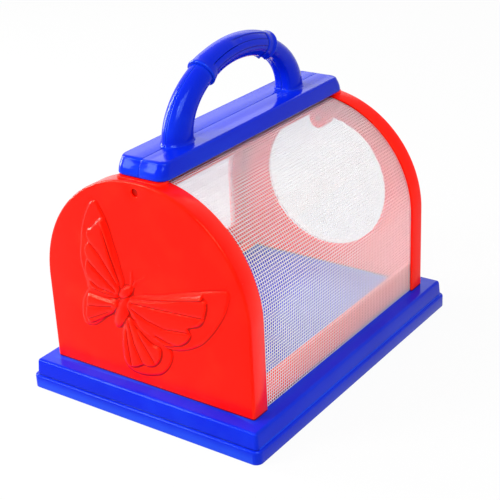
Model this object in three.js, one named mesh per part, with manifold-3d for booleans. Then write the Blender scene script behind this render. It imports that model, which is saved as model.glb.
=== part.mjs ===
// Insect breeding box: a blue base tray, a red cage of two arched end plates and three rails,
// a white net bent over the cage, a blue carrying handle in two halves with a grip sleeve,
// and a clear swing door over the round opening in the rear plate.
// Millimetres, +Z up. The origin is the middle of the base's underside.
// The front plate, with the butterfly relief, faces -Y, and the rear plate faces +Y.

import * as THREE from 'three';
import { ConvexGeometry } from 'three/addons/geometries/ConvexGeometry.js';
import { mergeVertices } from 'three/addons/utils/BufferGeometryUtils.js';
import Module from 'manifold-3d';

const wasm = await Module();
wasm.setup();

// Shared clearance and overrun
const fit = 0.3;
const overrun = 2;

// Base tray
const baseWidth = 170;
const baseLength = 225.5;
const baseHeight = 18.5;
const baseCornerRadius = 4.5;
const baseLeastRadius = 0.8;
const stepHeight = 8.4;
const stepEdgeRadius = 1.2;
const tierInset = 2;
const tierTopInset = 2.9;
const rimInset = 4.3;
const rimDrop = 1.5;
const baseWall = 2.2;
const deckThickness = 2.4;

// End plates
const plateSetback = 13.6;
const archSetback = 11.3;
const springHeight = 73.6;
const plateWall = 2.4;
const flangeDepth = 13.4;
const flangeWall = 1.5;
const faceEdgeRadius = 1.6;
const seatSetback = 2.6;
const seatHalfWidth = 15.6;
const seatRise = 0.5;
const seatThickness = 4.2;
const tongueWidth = 14;
const tongueDepth = 8.4;
const tonguePlace = 45;
const ledgeThickness = 3;
const ledgeDepth = 6;

// Rails, hoops and the pegs that carry the top rail
const hoopWall = 1.4;
const hoopWidth = 9.2;
const railWall = 2;
const railHeight = 18.7;
const railFootWidth = 12;
const topRailHalfWidth = 17.8;
const topRailWall = 2;
const ribHalfWidth = 4;
const ribDepth = 5.6;
const pegRadius = 1.7;
const pegLength = 4.9;
const pegBossRadius = 3;

// Net
const netGap = 0.3;
const netThickness = 0.6;
const netRoom = 0.5;

// Handle
const barBottomGap = 0.3;
const barHeight = 10.2;
const barHalfWidth = 17.6;
const barFootInset = 0.5;
const barTopInset = 1.0;
const barEdgeRadius = 2;
const barSetback = 4.3;
const barEndSlope = 3.8;
const barFootHeight = 1.2;
const barCornerRadius = 6;
const handleWall = 1.8;
const legSetback = 36.6;
const archRise = 39.3;
const legFootDepth = 12.8;
const legTopDepth = 7.8;
const legFootWidth = 8.6;
const legTopWidth = 7.3;
const legFlareWidth = 1.8;
const legFlareHeight = 4;
const legTaperPower = 1.6;
const legFlarePower = 2;
const neckRadius = 6.4;
const halvesGap = 0.3;

// Grip sleeve
const gripHalfLength = 33;
const gripRadius = 8.6;
const gripLipHeight = 1.1;
const gripLipLength = 2.6;
const gripCollarLength = 8;
const gripSlitWidth = 3.2;

// Screws
const screwRadius = 1.5;
const screwHeadRadius = 2.9;
const screwHeadHeight = 1.8;
const screwTip = 1.6;
const screwBossRadius = 3.6;
const seatScrewX = 8;
const seatScrewY = 40;
const seatScrewBite = 7;
const jointScrewY = 20;
const jointScrewBite = 9;
const screwTipRoom = 1.2;

// Rear opening and door
const openingMargin = 26.8;
const openingRise = 6.6;
const pivotInset = 0.3;
const pivotBossRadius = 6.5;
const pivotBossLength = 7;
const doorOverlap = 3.5;
const doorThickness = 2;
const doorGap = 1.6;
const doorEarRadius = 8;
const doorEdgeRadius = 0.5;
const washerRadius = 5;
const pullHalfWidth = 10;
const pullHalfHeight = 2.6;
const pullDepth = 4;
const pullDrop = 37;
const pullSlope = 1;

// Dimple and butterfly relief on the front plate
const dimpleRadius = 2.4;
const dimpleDepth = 0.7;
const dimpleDrop = 6.2;
const butterflyMargin = 18.7;
const butterflyX = -14;
const butterflyRise = 3.4;
const marginDepth = 0.8;
const wingDepth = 1.5;
const ridgeDepth = 2.6;
const reliefBevelWidth = 0.5;
const reliefRootDepth = 0.8;

// Counts
const cornerSteps = 4;
const archSteps = 32;
const sectionSides = 16;
const rodSides = 14;
const openingSides = 64;
const footStations = 3;
const legStations = 7;
const gripStations = 8;
const bodySides = 10;
const bodyRings = 6;

// Worked out from the sizes above
const plateFace = baseLength / 2 - plateSetback;
const archRadius = baseWidth / 2 - archSetback;
const plateInner = plateFace - plateWall;
const plateBottom = baseHeight + fit;
const archTop = springHeight + archRadius;
const netOuter = archRadius - flangeWall - netGap;
const netInner = netOuter - netThickness;
const hoopOuter = netInner - netRoom;
const hoopInner = hoopOuter - hoopWall;
const netHalfLength = plateInner - fit;
const hoopStart = netHalfLength - hoopWidth;
const railTop = plateBottom + railHeight;
const railInner = hoopOuter - railFootWidth;
const seatHeight = archTop + seatRise;
const barBottom = seatHeight + barBottomGap;
const barTop = barBottom + barHeight;
const barHalfLength = plateFace - barSetback;
const archHalfSpan = barHalfLength - legSetback;
const gripStart = Math.acos(gripHalfLength / archHalfSpan);
const screwHole = screwRadius + fit;
const pegHeight = springHeight + hoopInner - 2 * fit - pegBossRadius;
const openingRadius = archRadius - openingMargin;
const openingHeight = springHeight + openingRise;
const pivotHeight = openingHeight + openingRadius - pivotInset;
const doorRadius = openingRadius + doorOverlap;
const doorInner = plateFace + doorGap;
const doorOuter = doorInner + doorThickness;
const butterflySpan = 2 * (archRadius - butterflyMargin);
const butterflyHeight = springHeight + butterflyRise;

// Materials
function plastic(color, roughness) {
  return new THREE.MeshStandardMaterial({ color, roughness, metalness: 0 });
}

const bluePlastic = plastic(0x1f35e6, 0.28);
const redPlastic = plastic(0xfb2a14, 0.35);
const netPlastic = plastic(0xf6f6f8, 0.6);
const clearPlastic = plastic(0xe4eef4, 0.1);
clearPlastic.transparent = true;
clearPlastic.opacity = 0.35;
const screwSteel = new THREE.MeshStandardMaterial({ color: 0x5c6066, roughness: 0.4, metalness: 1 });

// Solids from geometry and back

function toSolid(geometry) {
  const bare = geometry.clone();
  bare.deleteAttribute('normal');
  bare.deleteAttribute('uv');
  const merged = mergeVertices(bare);
  return new wasm.Manifold(new wasm.Mesh({
    numProp: 3,
    vertProperties: new Float32Array(merged.attributes.position.array),
    triVerts: new Uint32Array(merged.index.array),
  }));
}

function toGeometry(solid) {
  const mesh = solid.getMesh();
  const geometry = new THREE.BufferGeometry();
  geometry.setAttribute('position', new THREE.BufferAttribute(mesh.vertProperties, 3));
  geometry.setIndex(new THREE.BufferAttribute(mesh.triVerts, 1));
  return geometry;
}

// An indexed geometry whose faces point out, whichever way the triangles were listed.
function closedGeometry(points, triangles) {
  let volume = 0;
  for (const [a, b, c] of triangles) {
    volume += points[a].dot(points[b].clone().cross(points[c]));
  }
  const turned = volume < 0 ? triangles.map(([a, b, c]) => [a, c, b]) : triangles;
  const geometry = new THREE.BufferGeometry().setFromPoints(points);
  geometry.setIndex(turned.flat());
  return geometry;
}

// The triangles that fill one counter-clockwise outline.
function capTriangles(section) {
  return THREE.ShapeUtils.triangulateShape(section, []).map(([a, b, c]) => {
    const ab = section[b].clone().sub(section[a]);
    const ac = section[c].clone().sub(section[a]);
    return ab.cross(ac) > 0 ? [a, b, c] : [a, c, b];
  });
}

// A closed solid through a row of like outlines. Each place carries its outline into space.
function loft(sections, places) {
  const clockwise = THREE.ShapeUtils.isClockWise(sections[0]);
  const outlines = sections.map((section) => (clockwise ? [...section].reverse() : section));
  const count = outlines[0].length;
  const points = outlines.flatMap((outline, i) => (
    outline.map((p) => new THREE.Vector3(p.x, p.y, 0).applyMatrix4(places[i]))
  ));
  const triangles = capTriangles(outlines[0]).map(([a, b, c]) => [a, c, b]);
  for (let i = 0; i + 1 < outlines.length; i += 1) {
    for (let j = 0; j < count; j += 1) {
      const here = i * count + j;
      const next = i * count + ((j + 1) % count);
      triangles.push([here, next, next + count], [here, next + count, here + count]);
    }
  }
  const last = (outlines.length - 1) * count;
  for (const [a, b, c] of capTriangles(outlines[outlines.length - 1])) {
    triangles.push([last + a, last + b, last + c]);
  }
  return toSolid(closedGeometry(points, triangles));
}

// Places for outlines: level outlines at a height, and upright outlines that lie across Y

function levelPlace(z) {
  return new THREE.Matrix4().makeTranslation(0, 0, z);
}

function uprightPlace(y) {
  const x = new THREE.Vector3(1, 0, 0);
  const up = new THREE.Vector3(0, 0, 1);
  const back = new THREE.Vector3(0, -1, 0);
  return new THREE.Matrix4().makeBasis(x, up, back).setPosition(0, y, 0);
}

function alongY(section, from, to) {
  return loft([section, section], [uprightPlace(from), uprightPlace(to)]);
}

// Boxes and rods between given ends

function box([x0, x1], [y0, y1], [z0, z1]) {
  const geometry = new THREE.BoxGeometry(Math.abs(x1 - x0), Math.abs(y1 - y0), Math.abs(z1 - z0));
  geometry.translate((x0 + x1) / 2, (y0 + y1) / 2, (z0 + z1) / 2);
  return toSolid(geometry);
}

function rodX(radius, from, to, y, z) {
  const geometry = new THREE.CylinderGeometry(radius, radius, Math.abs(to - from), rodSides);
  geometry.rotateZ(Math.PI / 2);
  geometry.translate((from + to) / 2, y, z);
  return toSolid(geometry);
}

function rodY(radius, from, to, x, z, sides = rodSides) {
  const geometry = new THREE.CylinderGeometry(radius, radius, Math.abs(to - from), sides);
  geometry.translate(x, (from + to) / 2, z);
  return toSolid(geometry);
}

function rodZ(radius, from, to, x, y) {
  const geometry = new THREE.CylinderGeometry(radius, radius, Math.abs(to - from), rodSides);
  geometry.rotateX(Math.PI / 2);
  geometry.translate(x, y, (from + to) / 2);
  return toSolid(geometry);
}

// Outlines

function roundedRectangle(halfX, halfY, radius) {
  const corners = [[1, 1, 0], [-1, 1, 1], [-1, -1, 2], [1, -1, 3]];
  return corners.flatMap(([sx, sy, quarter]) => (
    Array.from({ length: cornerSteps + 1 }, (_, i) => {
      const angle = (quarter + i / cornerSteps) * Math.PI / 2;
      return new THREE.Vector2(
        sx * (halfX - radius) + radius * Math.cos(angle),
        sy * (halfY - radius) + radius * Math.sin(angle),
      );
    })
  ));
}

// Half circle over the spring height, from the right side to the left
function archCrown(radius) {
  return Array.from({ length: archSteps + 1 }, (_, i) => {
    const angle = Math.PI * i / archSteps;
    return new THREE.Vector2(radius * Math.cos(angle), springHeight + radius * Math.sin(angle));
  });
}

function archOutline(radius, bottom) {
  return [new THREE.Vector2(-radius, bottom), new THREE.Vector2(radius, bottom), ...archCrown(radius)];
}

// The outline of a strip bent along the arch
function archBand(outer, inner, bottom) {
  return [
    new THREE.Vector2(outer, bottom),
    ...archCrown(outer),
    new THREE.Vector2(-outer, bottom),
    new THREE.Vector2(-inner, bottom),
    ...archCrown(inner).reverse(),
    new THREE.Vector2(inner, bottom),
  ];
}

function oval(halfX, halfY) {
  return Array.from({ length: sectionSides }, (_, i) => {
    const angle = 2 * Math.PI * i / sectionSides;
    return new THREE.Vector2(halfX * Math.cos(angle), halfY * Math.sin(angle));
  });
}

// Screws: a pan head on a pointed shank, first upright with the tip at the bottom

function screwGeometry(length) {
  const profile = [
    [0, 0],
    [screwRadius / 3, 0],
    [screwRadius, screwTip],
    [screwRadius, length],
    [screwHeadRadius, length],
    [screwHeadRadius, length + screwHeadHeight / 2],
    [screwHeadRadius * 2 / 3, length + screwHeadHeight],
    [0, length + screwHeadHeight],
  ];
  return new THREE.LatheGeometry(profile.map(([r, y]) => new THREE.Vector2(r, y)), rodSides);
}

// Base tray: two tiers, a flat deck and a hollow underside, with slots for the plates' tongues

function baseRing(inset) {
  const corner = Math.max(baseCornerRadius - inset, baseLeastRadius);
  return roundedRectangle(baseWidth / 2 - inset, baseLength / 2 - inset, corner);
}

function baseTray() {
  const shoulder = stepEdgeRadius * (1 - Math.SQRT1_2);
  const outerLevels = [
    [0, 0],
    [0, stepHeight - stepEdgeRadius],
    [shoulder, stepHeight - shoulder],
    [stepEdgeRadius, stepHeight],
    [tierInset, stepHeight],
    [tierTopInset, baseHeight - rimDrop],
    [rimInset, baseHeight],
  ];
  const tierWall = tierTopInset + baseWall;
  const hollowLevels = [
    [baseWall, -overrun],
    [baseWall, stepHeight - baseWall],
    [tierWall, stepHeight - baseWall],
    [tierWall, baseHeight - deckThickness],
  ];
  const [outer, hollow] = [outerLevels, hollowLevels].map((levels) => loft(
    levels.map(([inset]) => baseRing(inset)),
    levels.map(([, z]) => levelPlace(z)),
  ));
  let tray = outer.subtract(hollow);
  for (const side of [-1, 1]) {
    for (const end of [-1, 1]) {
      const slot = tongue(side, end, fit, [0, baseHeight + overrun]);
      tray = tray.subtract(slot);
    }
  }
  return toGeometry(tray);
}

// A locating tongue of an end plate, or its slot when it is grown by a clearance
function tongue(side, end, grow, heights) {
  const half = tongueWidth / 2 + grow;
  const centre = side * tonguePlace;
  return box([centre - half, centre + half], [end * (plateInner - grow), end * (plateFace + grow)], heights);
}

// End plates: face wall, inward flange, flat seat for the bar, tongues and ledges

function plateBody(end) {
  const soft = faceEdgeRadius * (1 - Math.SQRT1_2);
  const faceLevels = [[faceEdgeRadius, 0], [soft, soft], [0, faceEdgeRadius], [0, flangeDepth]];
  let body = loft(
    faceLevels.map(([inset]) => archOutline(archRadius - inset, plateBottom)),
    faceLevels.map(([, depth]) => uprightPlace(end * (plateFace - depth))),
  );
  const seatX = [-seatHalfWidth, seatHalfWidth];
  const seatY = [end * (plateFace - seatSetback), end * (plateFace - flangeDepth)];
  body = body.add(box(seatX, seatY, [seatHeight - seatThickness, seatHeight]));
  const room = archOutline(archRadius - flangeWall, plateBottom - overrun);
  body = body.subtract(alongY(room, end * plateInner, end * (plateFace - flangeDepth - overrun)));
  const bossRoot = end * (plateFace - faceEdgeRadius);
  const bossEnd = end * (plateInner - pegLength);
  body = body.add(rodY(pegBossRadius, bossRoot, bossEnd, 0, pegHeight));
  body = body.subtract(rodY(pegRadius + fit, end * plateInner, bossEnd - end * overrun, 0, pegHeight));
  for (const side of [-1, 1]) {
    body = body.add(tongue(side, end, 0, [plateBottom - tongueDepth, plateBottom + overrun]));
    body = body.add(railLedge(side, end));
  }
  return body;
}

// A ledge on the plate's inner face that holds the side rail's foot down
function railLedge(side, end) {
  const bottom = plateBottom + railWall + fit;
  const outerX = hoopOuter - railWall - fit;
  return box(
    [side * railInner, side * outerX],
    [end * (plateFace - faceEdgeRadius), end * (plateInner - ledgeDepth)],
    [bottom, bottom + ledgeThickness],
  );
}

// Butterfly relief: four wings with raised panels, two ridges, a body and two feelers.
// Points are shares of the span, to the right of and above the middle of the body.

const leftForewingShares = [
  [0.002, 0.047], [-0.014, 0.138], [-0.028, 0.206], [-0.048, 0.273], [-0.062, 0.326],
  [-0.084, 0.395], [-0.113, 0.45], [-0.144, 0.487], [-0.177, 0.474], [-0.199, 0.442],
  [-0.23, 0.383], [-0.255, 0.313], [-0.274, 0.223], [-0.286, 0.147], [-0.284, 0.104],
  [-0.274, 0.062], [-0.26, 0.013], [-0.231, -0.052], [-0.055, -0.045],
];
const leftForewingPanelShares = [
  [-0.023, 0.032], [-0.05, 0.127], [-0.075, 0.218], [-0.095, 0.314], [-0.108, 0.395],
  [-0.138, 0.378], [-0.164, 0.355], [-0.184, 0.334], [-0.22, 0.291], [-0.213, 0.256],
  [-0.244, 0.205], [-0.239, 0.149], [-0.255, 0.086], [-0.241, 0.03], [-0.218, -0.023],
  [-0.055, -0.032],
];
const leftHindwingShares = [
  [-0.055, -0.064], [-0.218, -0.05], [-0.255, -0.045], [-0.293, -0.1], [-0.312, -0.158],
  [-0.314, -0.219], [-0.3, -0.255], [-0.269, -0.262], [-0.232, -0.252], [-0.182, -0.215],
  [-0.123, -0.162], [-0.055, -0.118],
];
const leftHindwingPanelShares = [
  [-0.055, -0.073], [-0.218, -0.064], [-0.253, -0.069], [-0.268, -0.119], [-0.282, -0.183],
  [-0.278, -0.228], [-0.255, -0.241], [-0.218, -0.227], [-0.164, -0.191], [-0.073, -0.127],
];
const rightForewingShares = [
  [0.037, -0.02], [0.223, 0.035], [0.39, 0.09], [0.519, 0.131], [0.664, 0.17], [0.683, 0.153],
  [0.672, 0.102], [0.652, 0.048], [0.621, -0.008], [0.582, -0.068], [0.531, -0.133],
  [0.479, -0.183], [0.412, -0.224], [0.345, -0.25], [0.278, -0.258], [0.173, -0.245],
  [0.027, -0.109],
];
const rightForewingPanelShares = [
  [0.039, -0.032], [0.221, 0.009], [0.512, 0.091], [0.545, 0.064], [0.529, -0.007],
  [0.515, -0.039], [0.489, -0.067], [0.455, -0.084], [0.421, -0.101], [0.432, -0.134],
  [0.417, -0.166], [0.39, -0.195], [0.356, -0.216], [0.314, -0.232], [0.271, -0.244],
  [0.236, -0.238], [0.091, -0.177], [0.032, -0.1],
];
const rightHindwingShares = [
  [0.009, -0.136], [-0.013, -0.163], [-0.035, -0.236], [-0.044, -0.315], [-0.044, -0.391],
  [-0.027, -0.441], [0.019, -0.466], [0.088, -0.468], [0.159, -0.451], [0.212, -0.427],
  [0.258, -0.38], [0.289, -0.318], [0.285, -0.267], [0.236, -0.245],
];
const rightHindwingPanelShares = [
  [0.018, -0.145], [-0.023, -0.236], [-0.033, -0.315], [-0.032, -0.391], [-0.015, -0.432],
  [0.013, -0.44], [0.057, -0.426], [0.099, -0.403], [0.137, -0.403], [0.183, -0.383],
  [0.215, -0.342], [0.229, -0.294], [0.219, -0.266], [0.161, -0.253], [0.073, -0.191],
];
const ridgeShares = [
  { root: [-0.005, 0.045], foot: [-0.08, 0.386], crest: [-0.107, 0.389], end: [-0.125, 0.38] },
  { root: [0.037, -0.024], foot: [0.52, 0.129], crest: [0.513, 0.096], end: [0.509, 0.076] },
];
const abdomenShares = { x: -0.022, z: -0.118, length: 0.116, width: 0.039, tilt: 0.48 };
const thoraxShares = { x: 0.014, z: 0.006, length: 0.06, width: 0.027, tilt: 0.89 };
const feelerRootShares = [0.045, 0.042];
const feelerTipShares = [[0.06, 0.134], [0.149, 0.123]];
const bodyRiseShare = 0.7;
const feelerWidthShare = 0.008;

function butterflyPoint([x, z]) {
  return new THREE.Vector2(butterflyX + x * butterflySpan, butterflyHeight + z * butterflySpan);
}

// A plate of one outline that stands out from the face by a depth
function raised(shares, depth) {
  const geometry = new THREE.ExtrudeGeometry(new THREE.Shape(shares.map(butterflyPoint)), {
    depth: reliefRootDepth + depth - 2 * reliefBevelWidth,
    bevelSize: reliefBevelWidth,
    bevelOffset: -reliefBevelWidth,
    bevelThickness: reliefBevelWidth,
    bevelSegments: 1,
    curveSegments: 1,
  });
  geometry.translate(0, 0, reliefBevelWidth);
  geometry.applyMatrix4(uprightPlace(reliefRootDepth - plateFace));
  return toSolid(geometry);
}

// A ridge along a wing's leading edge that grows from the body to its end
function ridge(shares) {
  const at = (share, rise) => {
    const place = butterflyPoint(share);
    return new THREE.Vector3(place.x, -plateFace - rise, place.y);
  };
  const { root, foot, crest, end } = shares;
  return toSolid(new ConvexGeometry([
    ...[root, foot, end].map((share) => at(share, -reliefRootDepth)),
    at(root, marginDepth),
    at(foot, marginDepth / 2),
    at(end, wingDepth),
    at(crest, ridgeDepth),
  ]));
}

function bodyPart(shares) {
  const geometry = new THREE.SphereGeometry(1, bodySides, bodyRings);
  const [halfWidth, halfLength] = [shares.width * butterflySpan, shares.length * butterflySpan];
  geometry.scale(halfWidth, halfWidth * bodyRiseShare, halfLength);
  geometry.rotateY(shares.tilt);
  const place = butterflyPoint([shares.x, shares.z]);
  geometry.translate(place.x, -plateFace, place.y);
  return toSolid(geometry);
}

function feeler(tipShares) {
  const root = butterflyPoint(feelerRootShares);
  const tip = butterflyPoint(tipShares);
  const radius = feelerWidthShare * butterflySpan;
  const geometry = new THREE.CylinderGeometry(radius, radius, root.distanceTo(tip), rodSides / 2);
  const line = tip.clone().sub(root);
  geometry.rotateX(Math.PI / 2);
  geometry.rotateY(Math.PI / 2 - line.angle());
  geometry.translate((root.x + tip.x) / 2, -plateFace, (root.y + tip.y) / 2);
  return toSolid(geometry);
}

function frontPlate() {
  let plate = plateBody(-1);
  const wings = [leftForewingShares, leftHindwingShares, rightForewingShares, rightHindwingShares];
  const panels = [
    leftForewingPanelShares, leftHindwingPanelShares, rightForewingPanelShares,
    rightHindwingPanelShares,
  ];
  const reliefs = [
    ...wings.map((shares) => raised(shares, marginDepth)),
    ...panels.map((shares) => raised(shares, wingDepth)),
    ...ridgeShares.map(ridge),
    ...[abdomenShares, thoraxShares].map(bodyPart),
    ...feelerTipShares.map(feeler),
  ];
  reliefs.forEach((relief) => {
    plate = plate.add(relief);
  });
  const dimpleHeight = archTop - dimpleDrop;
  const dimple = rodY(dimpleRadius, -plateFace - overrun, dimpleDepth - plateFace, 0, dimpleHeight);
  plate = plate.subtract(dimple);
  return toGeometry(plate);
}

function rearPlate() {
  let plate = plateBody(1);
  const cut = [plateInner - overrun, plateFace + overrun];
  plate = plate.subtract(rodY(openingRadius, ...cut, 0, openingHeight, openingSides));
  const bossEnd = plateInner - pivotBossLength;
  plate = plate.add(rodY(pivotBossRadius, bossEnd, plateFace, 0, pivotHeight));
  plate = plate.subtract(rodY(screwHole, bossEnd - overrun, plateFace + overrun, 0, pivotHeight));
  return toGeometry(plate);
}

// Net hoops, side rails and top rail

function netHoop(end) {
  const band = archBand(hoopOuter, hoopInner, railTop + fit);
  return toGeometry(alongY(band, end * hoopStart, end * netHalfLength));
}

function sideRail(side) {
  const outer = side * hoopOuter;
  const web = side * (hoopOuter - railWall);
  const toe = side * railInner;
  const footTop = plateBottom + railWall;
  const corners = [
    [outer, plateBottom], [outer, railTop], [web, railTop], [web, footTop], [toe, footTop],
    [toe, plateBottom],
  ];
  const section = corners.map(([x, z]) => new THREE.Vector2(x, z));
  return toGeometry(alongY(section, -netHalfLength, netHalfLength));
}

function topRail() {
  const stripHalf = hoopStart - fit;
  const band = archBand(hoopOuter, hoopOuter - topRailWall, springHeight);
  const window = box(
    [-topRailHalfWidth, topRailHalfWidth],
    [-stripHalf, stripHalf],
    [springHeight + topRailHalfWidth, archTop],
  );
  let rail = alongY(band, -stripHalf, stripHalf).intersect(window);
  const ribEnd = plateInner - pegLength - fit;
  const ribTop = springHeight + hoopInner - fit;
  rail = rail.add(box([-ribHalfWidth, ribHalfWidth], [-ribEnd, ribEnd], [ribTop - ribDepth, ribTop]));
  rail = rail.add(rodY(pegRadius, -netHalfLength, netHalfLength, 0, pegHeight));
  seatScrewPlaces().forEach(([x, y]) => {
    rail = rail.subtract(rodZ(screwHole, springHeight, archTop, x, y));
  });
  return toGeometry(rail);
}

// Net: one closed sheet, from the deck up over the arch and down again

function netCover() {
  const band = archBand(netOuter, netInner, plateBottom);
  let net = alongY(band, -netHalfLength, netHalfLength);
  seatScrewPlaces().forEach(([x, y]) => {
    net = net.subtract(rodZ(screwHole, springHeight, archTop + overrun, x, y));
  });
  return toGeometry(net);
}

// Handle: a bar and an arch, hollow, in two halves

function barRing(insetX, insetY) {
  return roundedRectangle(barHalfWidth - insetX, barHalfLength - insetY, barCornerRadius);
}

function barSolid() {
  const shoulder = barTop - barEdgeRadius;
  const levels = [
    [barFootInset, barFootInset, barBottom],
    [0, 0, barBottom + barFootHeight],
    [barTopInset, barEndSlope, shoulder],
    [barTopInset + barEdgeRadius, barEndSlope + barEdgeRadius, barTop],
  ];
  return loft(
    levels.map(([insetX, insetY]) => barRing(insetX, insetY)),
    levels.map(([, , z]) => levelPlace(z)),
  );
}

function barHollow() {
  const insetX = barTopInset + handleWall;
  const insetY = barEndSlope + handleWall;
  const heights = [barBottom + handleWall, barTop - handleWall];
  return loft([barRing(insetX, insetY), barRing(insetX, insetY)], heights.map(levelPlace));
}

// A place on the arch's centreline, with local Y pointing away from the arch's middle
function archPlace(t, drop = 0) {
  const across = new THREE.Vector3(1, 0, 0);
  const outward = new THREE.Vector3(0, archRise * Math.cos(t), archHalfSpan * Math.sin(t)).normalize();
  const forward = across.clone().cross(outward);
  return new THREE.Matrix4().makeBasis(across, outward, forward).setPosition(
    0,
    archHalfSpan * Math.cos(t),
    barTop + archRise * Math.sin(t) - drop,
  );
}

// Half width and half depth of the leg where the arch has turned by t
function legSize(t) {
  const lean = 1 - Math.sin(t);
  const above = archRise * Math.sin(t);
  const flare = legFlareWidth * Math.max(0, 1 - above / legFlareHeight) ** legFlarePower;
  return {
    width: legTopWidth + (legFootWidth - legTopWidth) * lean + flare,
    depth: legTopDepth + (legFootDepth - legTopDepth) * lean ** legTaperPower + flare,
  };
}

function spaced(from, to, count) {
  return Array.from({ length: count + 1 }, (_, i) => from + (to - from) * i / count);
}

// The arch, less a wall thickness for its hollow
function archSolid(wall) {
  const flareEnd = Math.asin(legFlareHeight / archRise);
  const foot = spaced(0, flareEnd, footStations);
  const leg = spaced(flareEnd, gripStart, legStations).slice(1);
  const legStops = [...foot, ...leg].map((t) => ({ t, ...legSize(t) }));
  const neck = { width: neckRadius, depth: neckRadius };
  const neckStops = spaced(gripStart, Math.PI - gripStart, gripStations).map((t) => ({ t, ...neck }));
  const farStops = [...legStops].reverse().map(({ t, ...size }) => ({ t: Math.PI - t, ...size }));
  const root = legStops[0];
  const depthIntoBar = handleWall + fit;
  const stops = [...legStops, ...neckStops, ...farStops];
  const sections = [root, ...stops, root].map(({ width, depth }) => oval(width - wall, depth - wall));
  const places = [
    archPlace(0, depthIntoBar),
    ...stops.map(({ t }) => archPlace(t)),
    archPlace(Math.PI, depthIntoBar),
  ];
  return loft(sections, places);
}

function seatScrewPlaces() {
  return [-1, 1].flatMap((side) => [-1, 1].map((end) => [side * seatScrewX, end * seatScrewY]));
}

function jointScrewHeight() {
  return (barBottom + barTop) / 2;
}

function handleShell() {
  let shell = barSolid().add(archSolid(0));
  shell = shell.subtract(barHollow().add(archSolid(handleWall)));
  const bossReach = barHalfWidth - barTopInset - handleWall / 2;
  seatScrewPlaces().forEach(([x, y]) => {
    shell = shell.add(rodZ(screwBossRadius, barBottom, barTop - handleWall / 2, x, y));
  });
  [-1, 1].forEach((end) => {
    const z = jointScrewHeight();
    shell = shell.add(rodX(screwBossRadius, -bossReach, bossReach, end * jointScrewY, z));
  });
  seatScrewPlaces().forEach(([x, y]) => {
    const bore = rodZ(screwHole, barBottom - overrun, barBottom + seatScrewBite + screwTipRoom, x, y);
    shell = shell.subtract(bore);
  });
  [-1, 1].forEach((end) => {
    const z = jointScrewHeight();
    const y = end * jointScrewY;
    shell = shell.subtract(rodX(screwHole, -barHalfWidth, jointScrewBite + screwTipRoom, y, z));
    shell = shell.subtract(rodX(screwHeadRadius + fit, jointHeadSeat(), -barHalfWidth - overrun, y, z));
  });
  return shell;
}

// The depth at which a joint screw's head bears, sunk below the bar's left side
function jointHeadSeat() {
  return -(barHalfWidth - barTopInset - screwHeadHeight);
}

function handleHalf(shell, side) {
  const reach = barHalfWidth + overrun;
  const half = box(
    [side * halvesGap / 2, side * reach],
    [-barHalfLength - overrun, barHalfLength + overrun],
    [barBottom - overrun, barTop + archRise + legFootDepth],
  );
  return toGeometry(shell.intersect(half));
}

// Grip sleeve: a slit sleeve round the arch's neck, with a lip and a collar at each end

function sleeveSection(outer) {
  const inner = neckRadius + fit;
  const open = Math.asin(gripSlitWidth / 2 / inner);
  const start = -Math.PI / 2 + open;
  const turn = 2 * Math.PI - 2 * open;
  const ring = (radius) => spaced(start, start + turn, sectionSides).map((angle) => (
    new THREE.Vector2(radius * Math.cos(angle), radius * Math.sin(angle))
  ));
  return [...ring(outer), ...ring(inner).reverse()];
}

function gripSleeve() {
  const speed = Math.hypot(archHalfSpan * Math.sin(gripStart), archRise * Math.cos(gripStart));
  const step = (length) => gripStart + length / speed;
  const end = step(fit);
  const endStops = [
    [end, gripRadius + gripLipHeight / 2],
    [step(gripLipLength / 3), gripRadius + gripLipHeight],
    [step(gripLipLength), gripRadius + gripLipHeight],
    [step(gripCollarLength), gripRadius],
  ];
  const middle = spaced(step(gripCollarLength), Math.PI - step(gripCollarLength), gripStations);
  const stops = [
    ...endStops,
    ...middle.slice(1, -1).map((t) => [t, gripRadius]),
    ...[...endStops].reverse().map(([t, outer]) => [Math.PI - t, outer]),
  ];
  return toGeometry(loft(
    stops.map(([, outer]) => sleeveSection(outer)),
    stops.map(([t]) => archPlace(t)),
  ));
}

// Screws that hold the rail, the net and the bar together, and the two handle halves

function seatScrew([x, y]) {
  const edgeX = seatScrewX + screwHeadRadius;
  const railUnder = springHeight + Math.sqrt((hoopOuter - topRailWall) ** 2 - edgeX ** 2);
  const headTop = railUnder - fit;
  const length = barBottom + seatScrewBite - headTop;
  const geometry = screwGeometry(length);
  geometry.rotateX(-Math.PI / 2);
  geometry.translate(x, y, headTop + length);
  return geometry;
}

function handleScrew(end) {
  const headFace = jointHeadSeat() - fit;
  const length = jointScrewBite - headFace;
  const geometry = screwGeometry(length);
  geometry.rotateZ(Math.PI / 2);
  geometry.translate(jointScrewBite, end * jointScrewY, jointScrewHeight());
  return geometry;
}

// Door: a clear disc with an ear at its pivot and a finger pull near its foot

function door() {
  const rounded = (radius, z) => {
    const circle = (r) => Array.from({ length: openingSides }, (_, i) => {
      const angle = 2 * Math.PI * i / openingSides;
      return new THREE.Vector2(r * Math.cos(angle), z + r * Math.sin(angle));
    });
    return loft(
      [circle(radius), circle(radius), circle(radius - doorEdgeRadius)],
      [doorInner, doorOuter - doorEdgeRadius, doorOuter].map(uprightPlace),
    );
  };
  const pullHeight = openingHeight - pullDrop;
  const pullOutline = (inset) => (
    roundedRectangle(pullHalfWidth - inset, pullHalfHeight - inset, pullHalfHeight / 2 - inset / 2)
      .map((p) => p.setY(p.y + pullHeight))
  );
  let disc = rounded(doorRadius, openingHeight).add(rounded(doorEarRadius, pivotHeight));
  disc = disc.add(loft(
    [pullOutline(0), pullOutline(pullSlope)],
    [doorOuter - doorThickness / 2, doorOuter + pullDepth].map(uprightPlace),
  ));
  const hole = rodY(screwHole, doorInner - overrun, doorOuter + overrun, 0, pivotHeight);
  return toGeometry(disc.subtract(hole));
}

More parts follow.
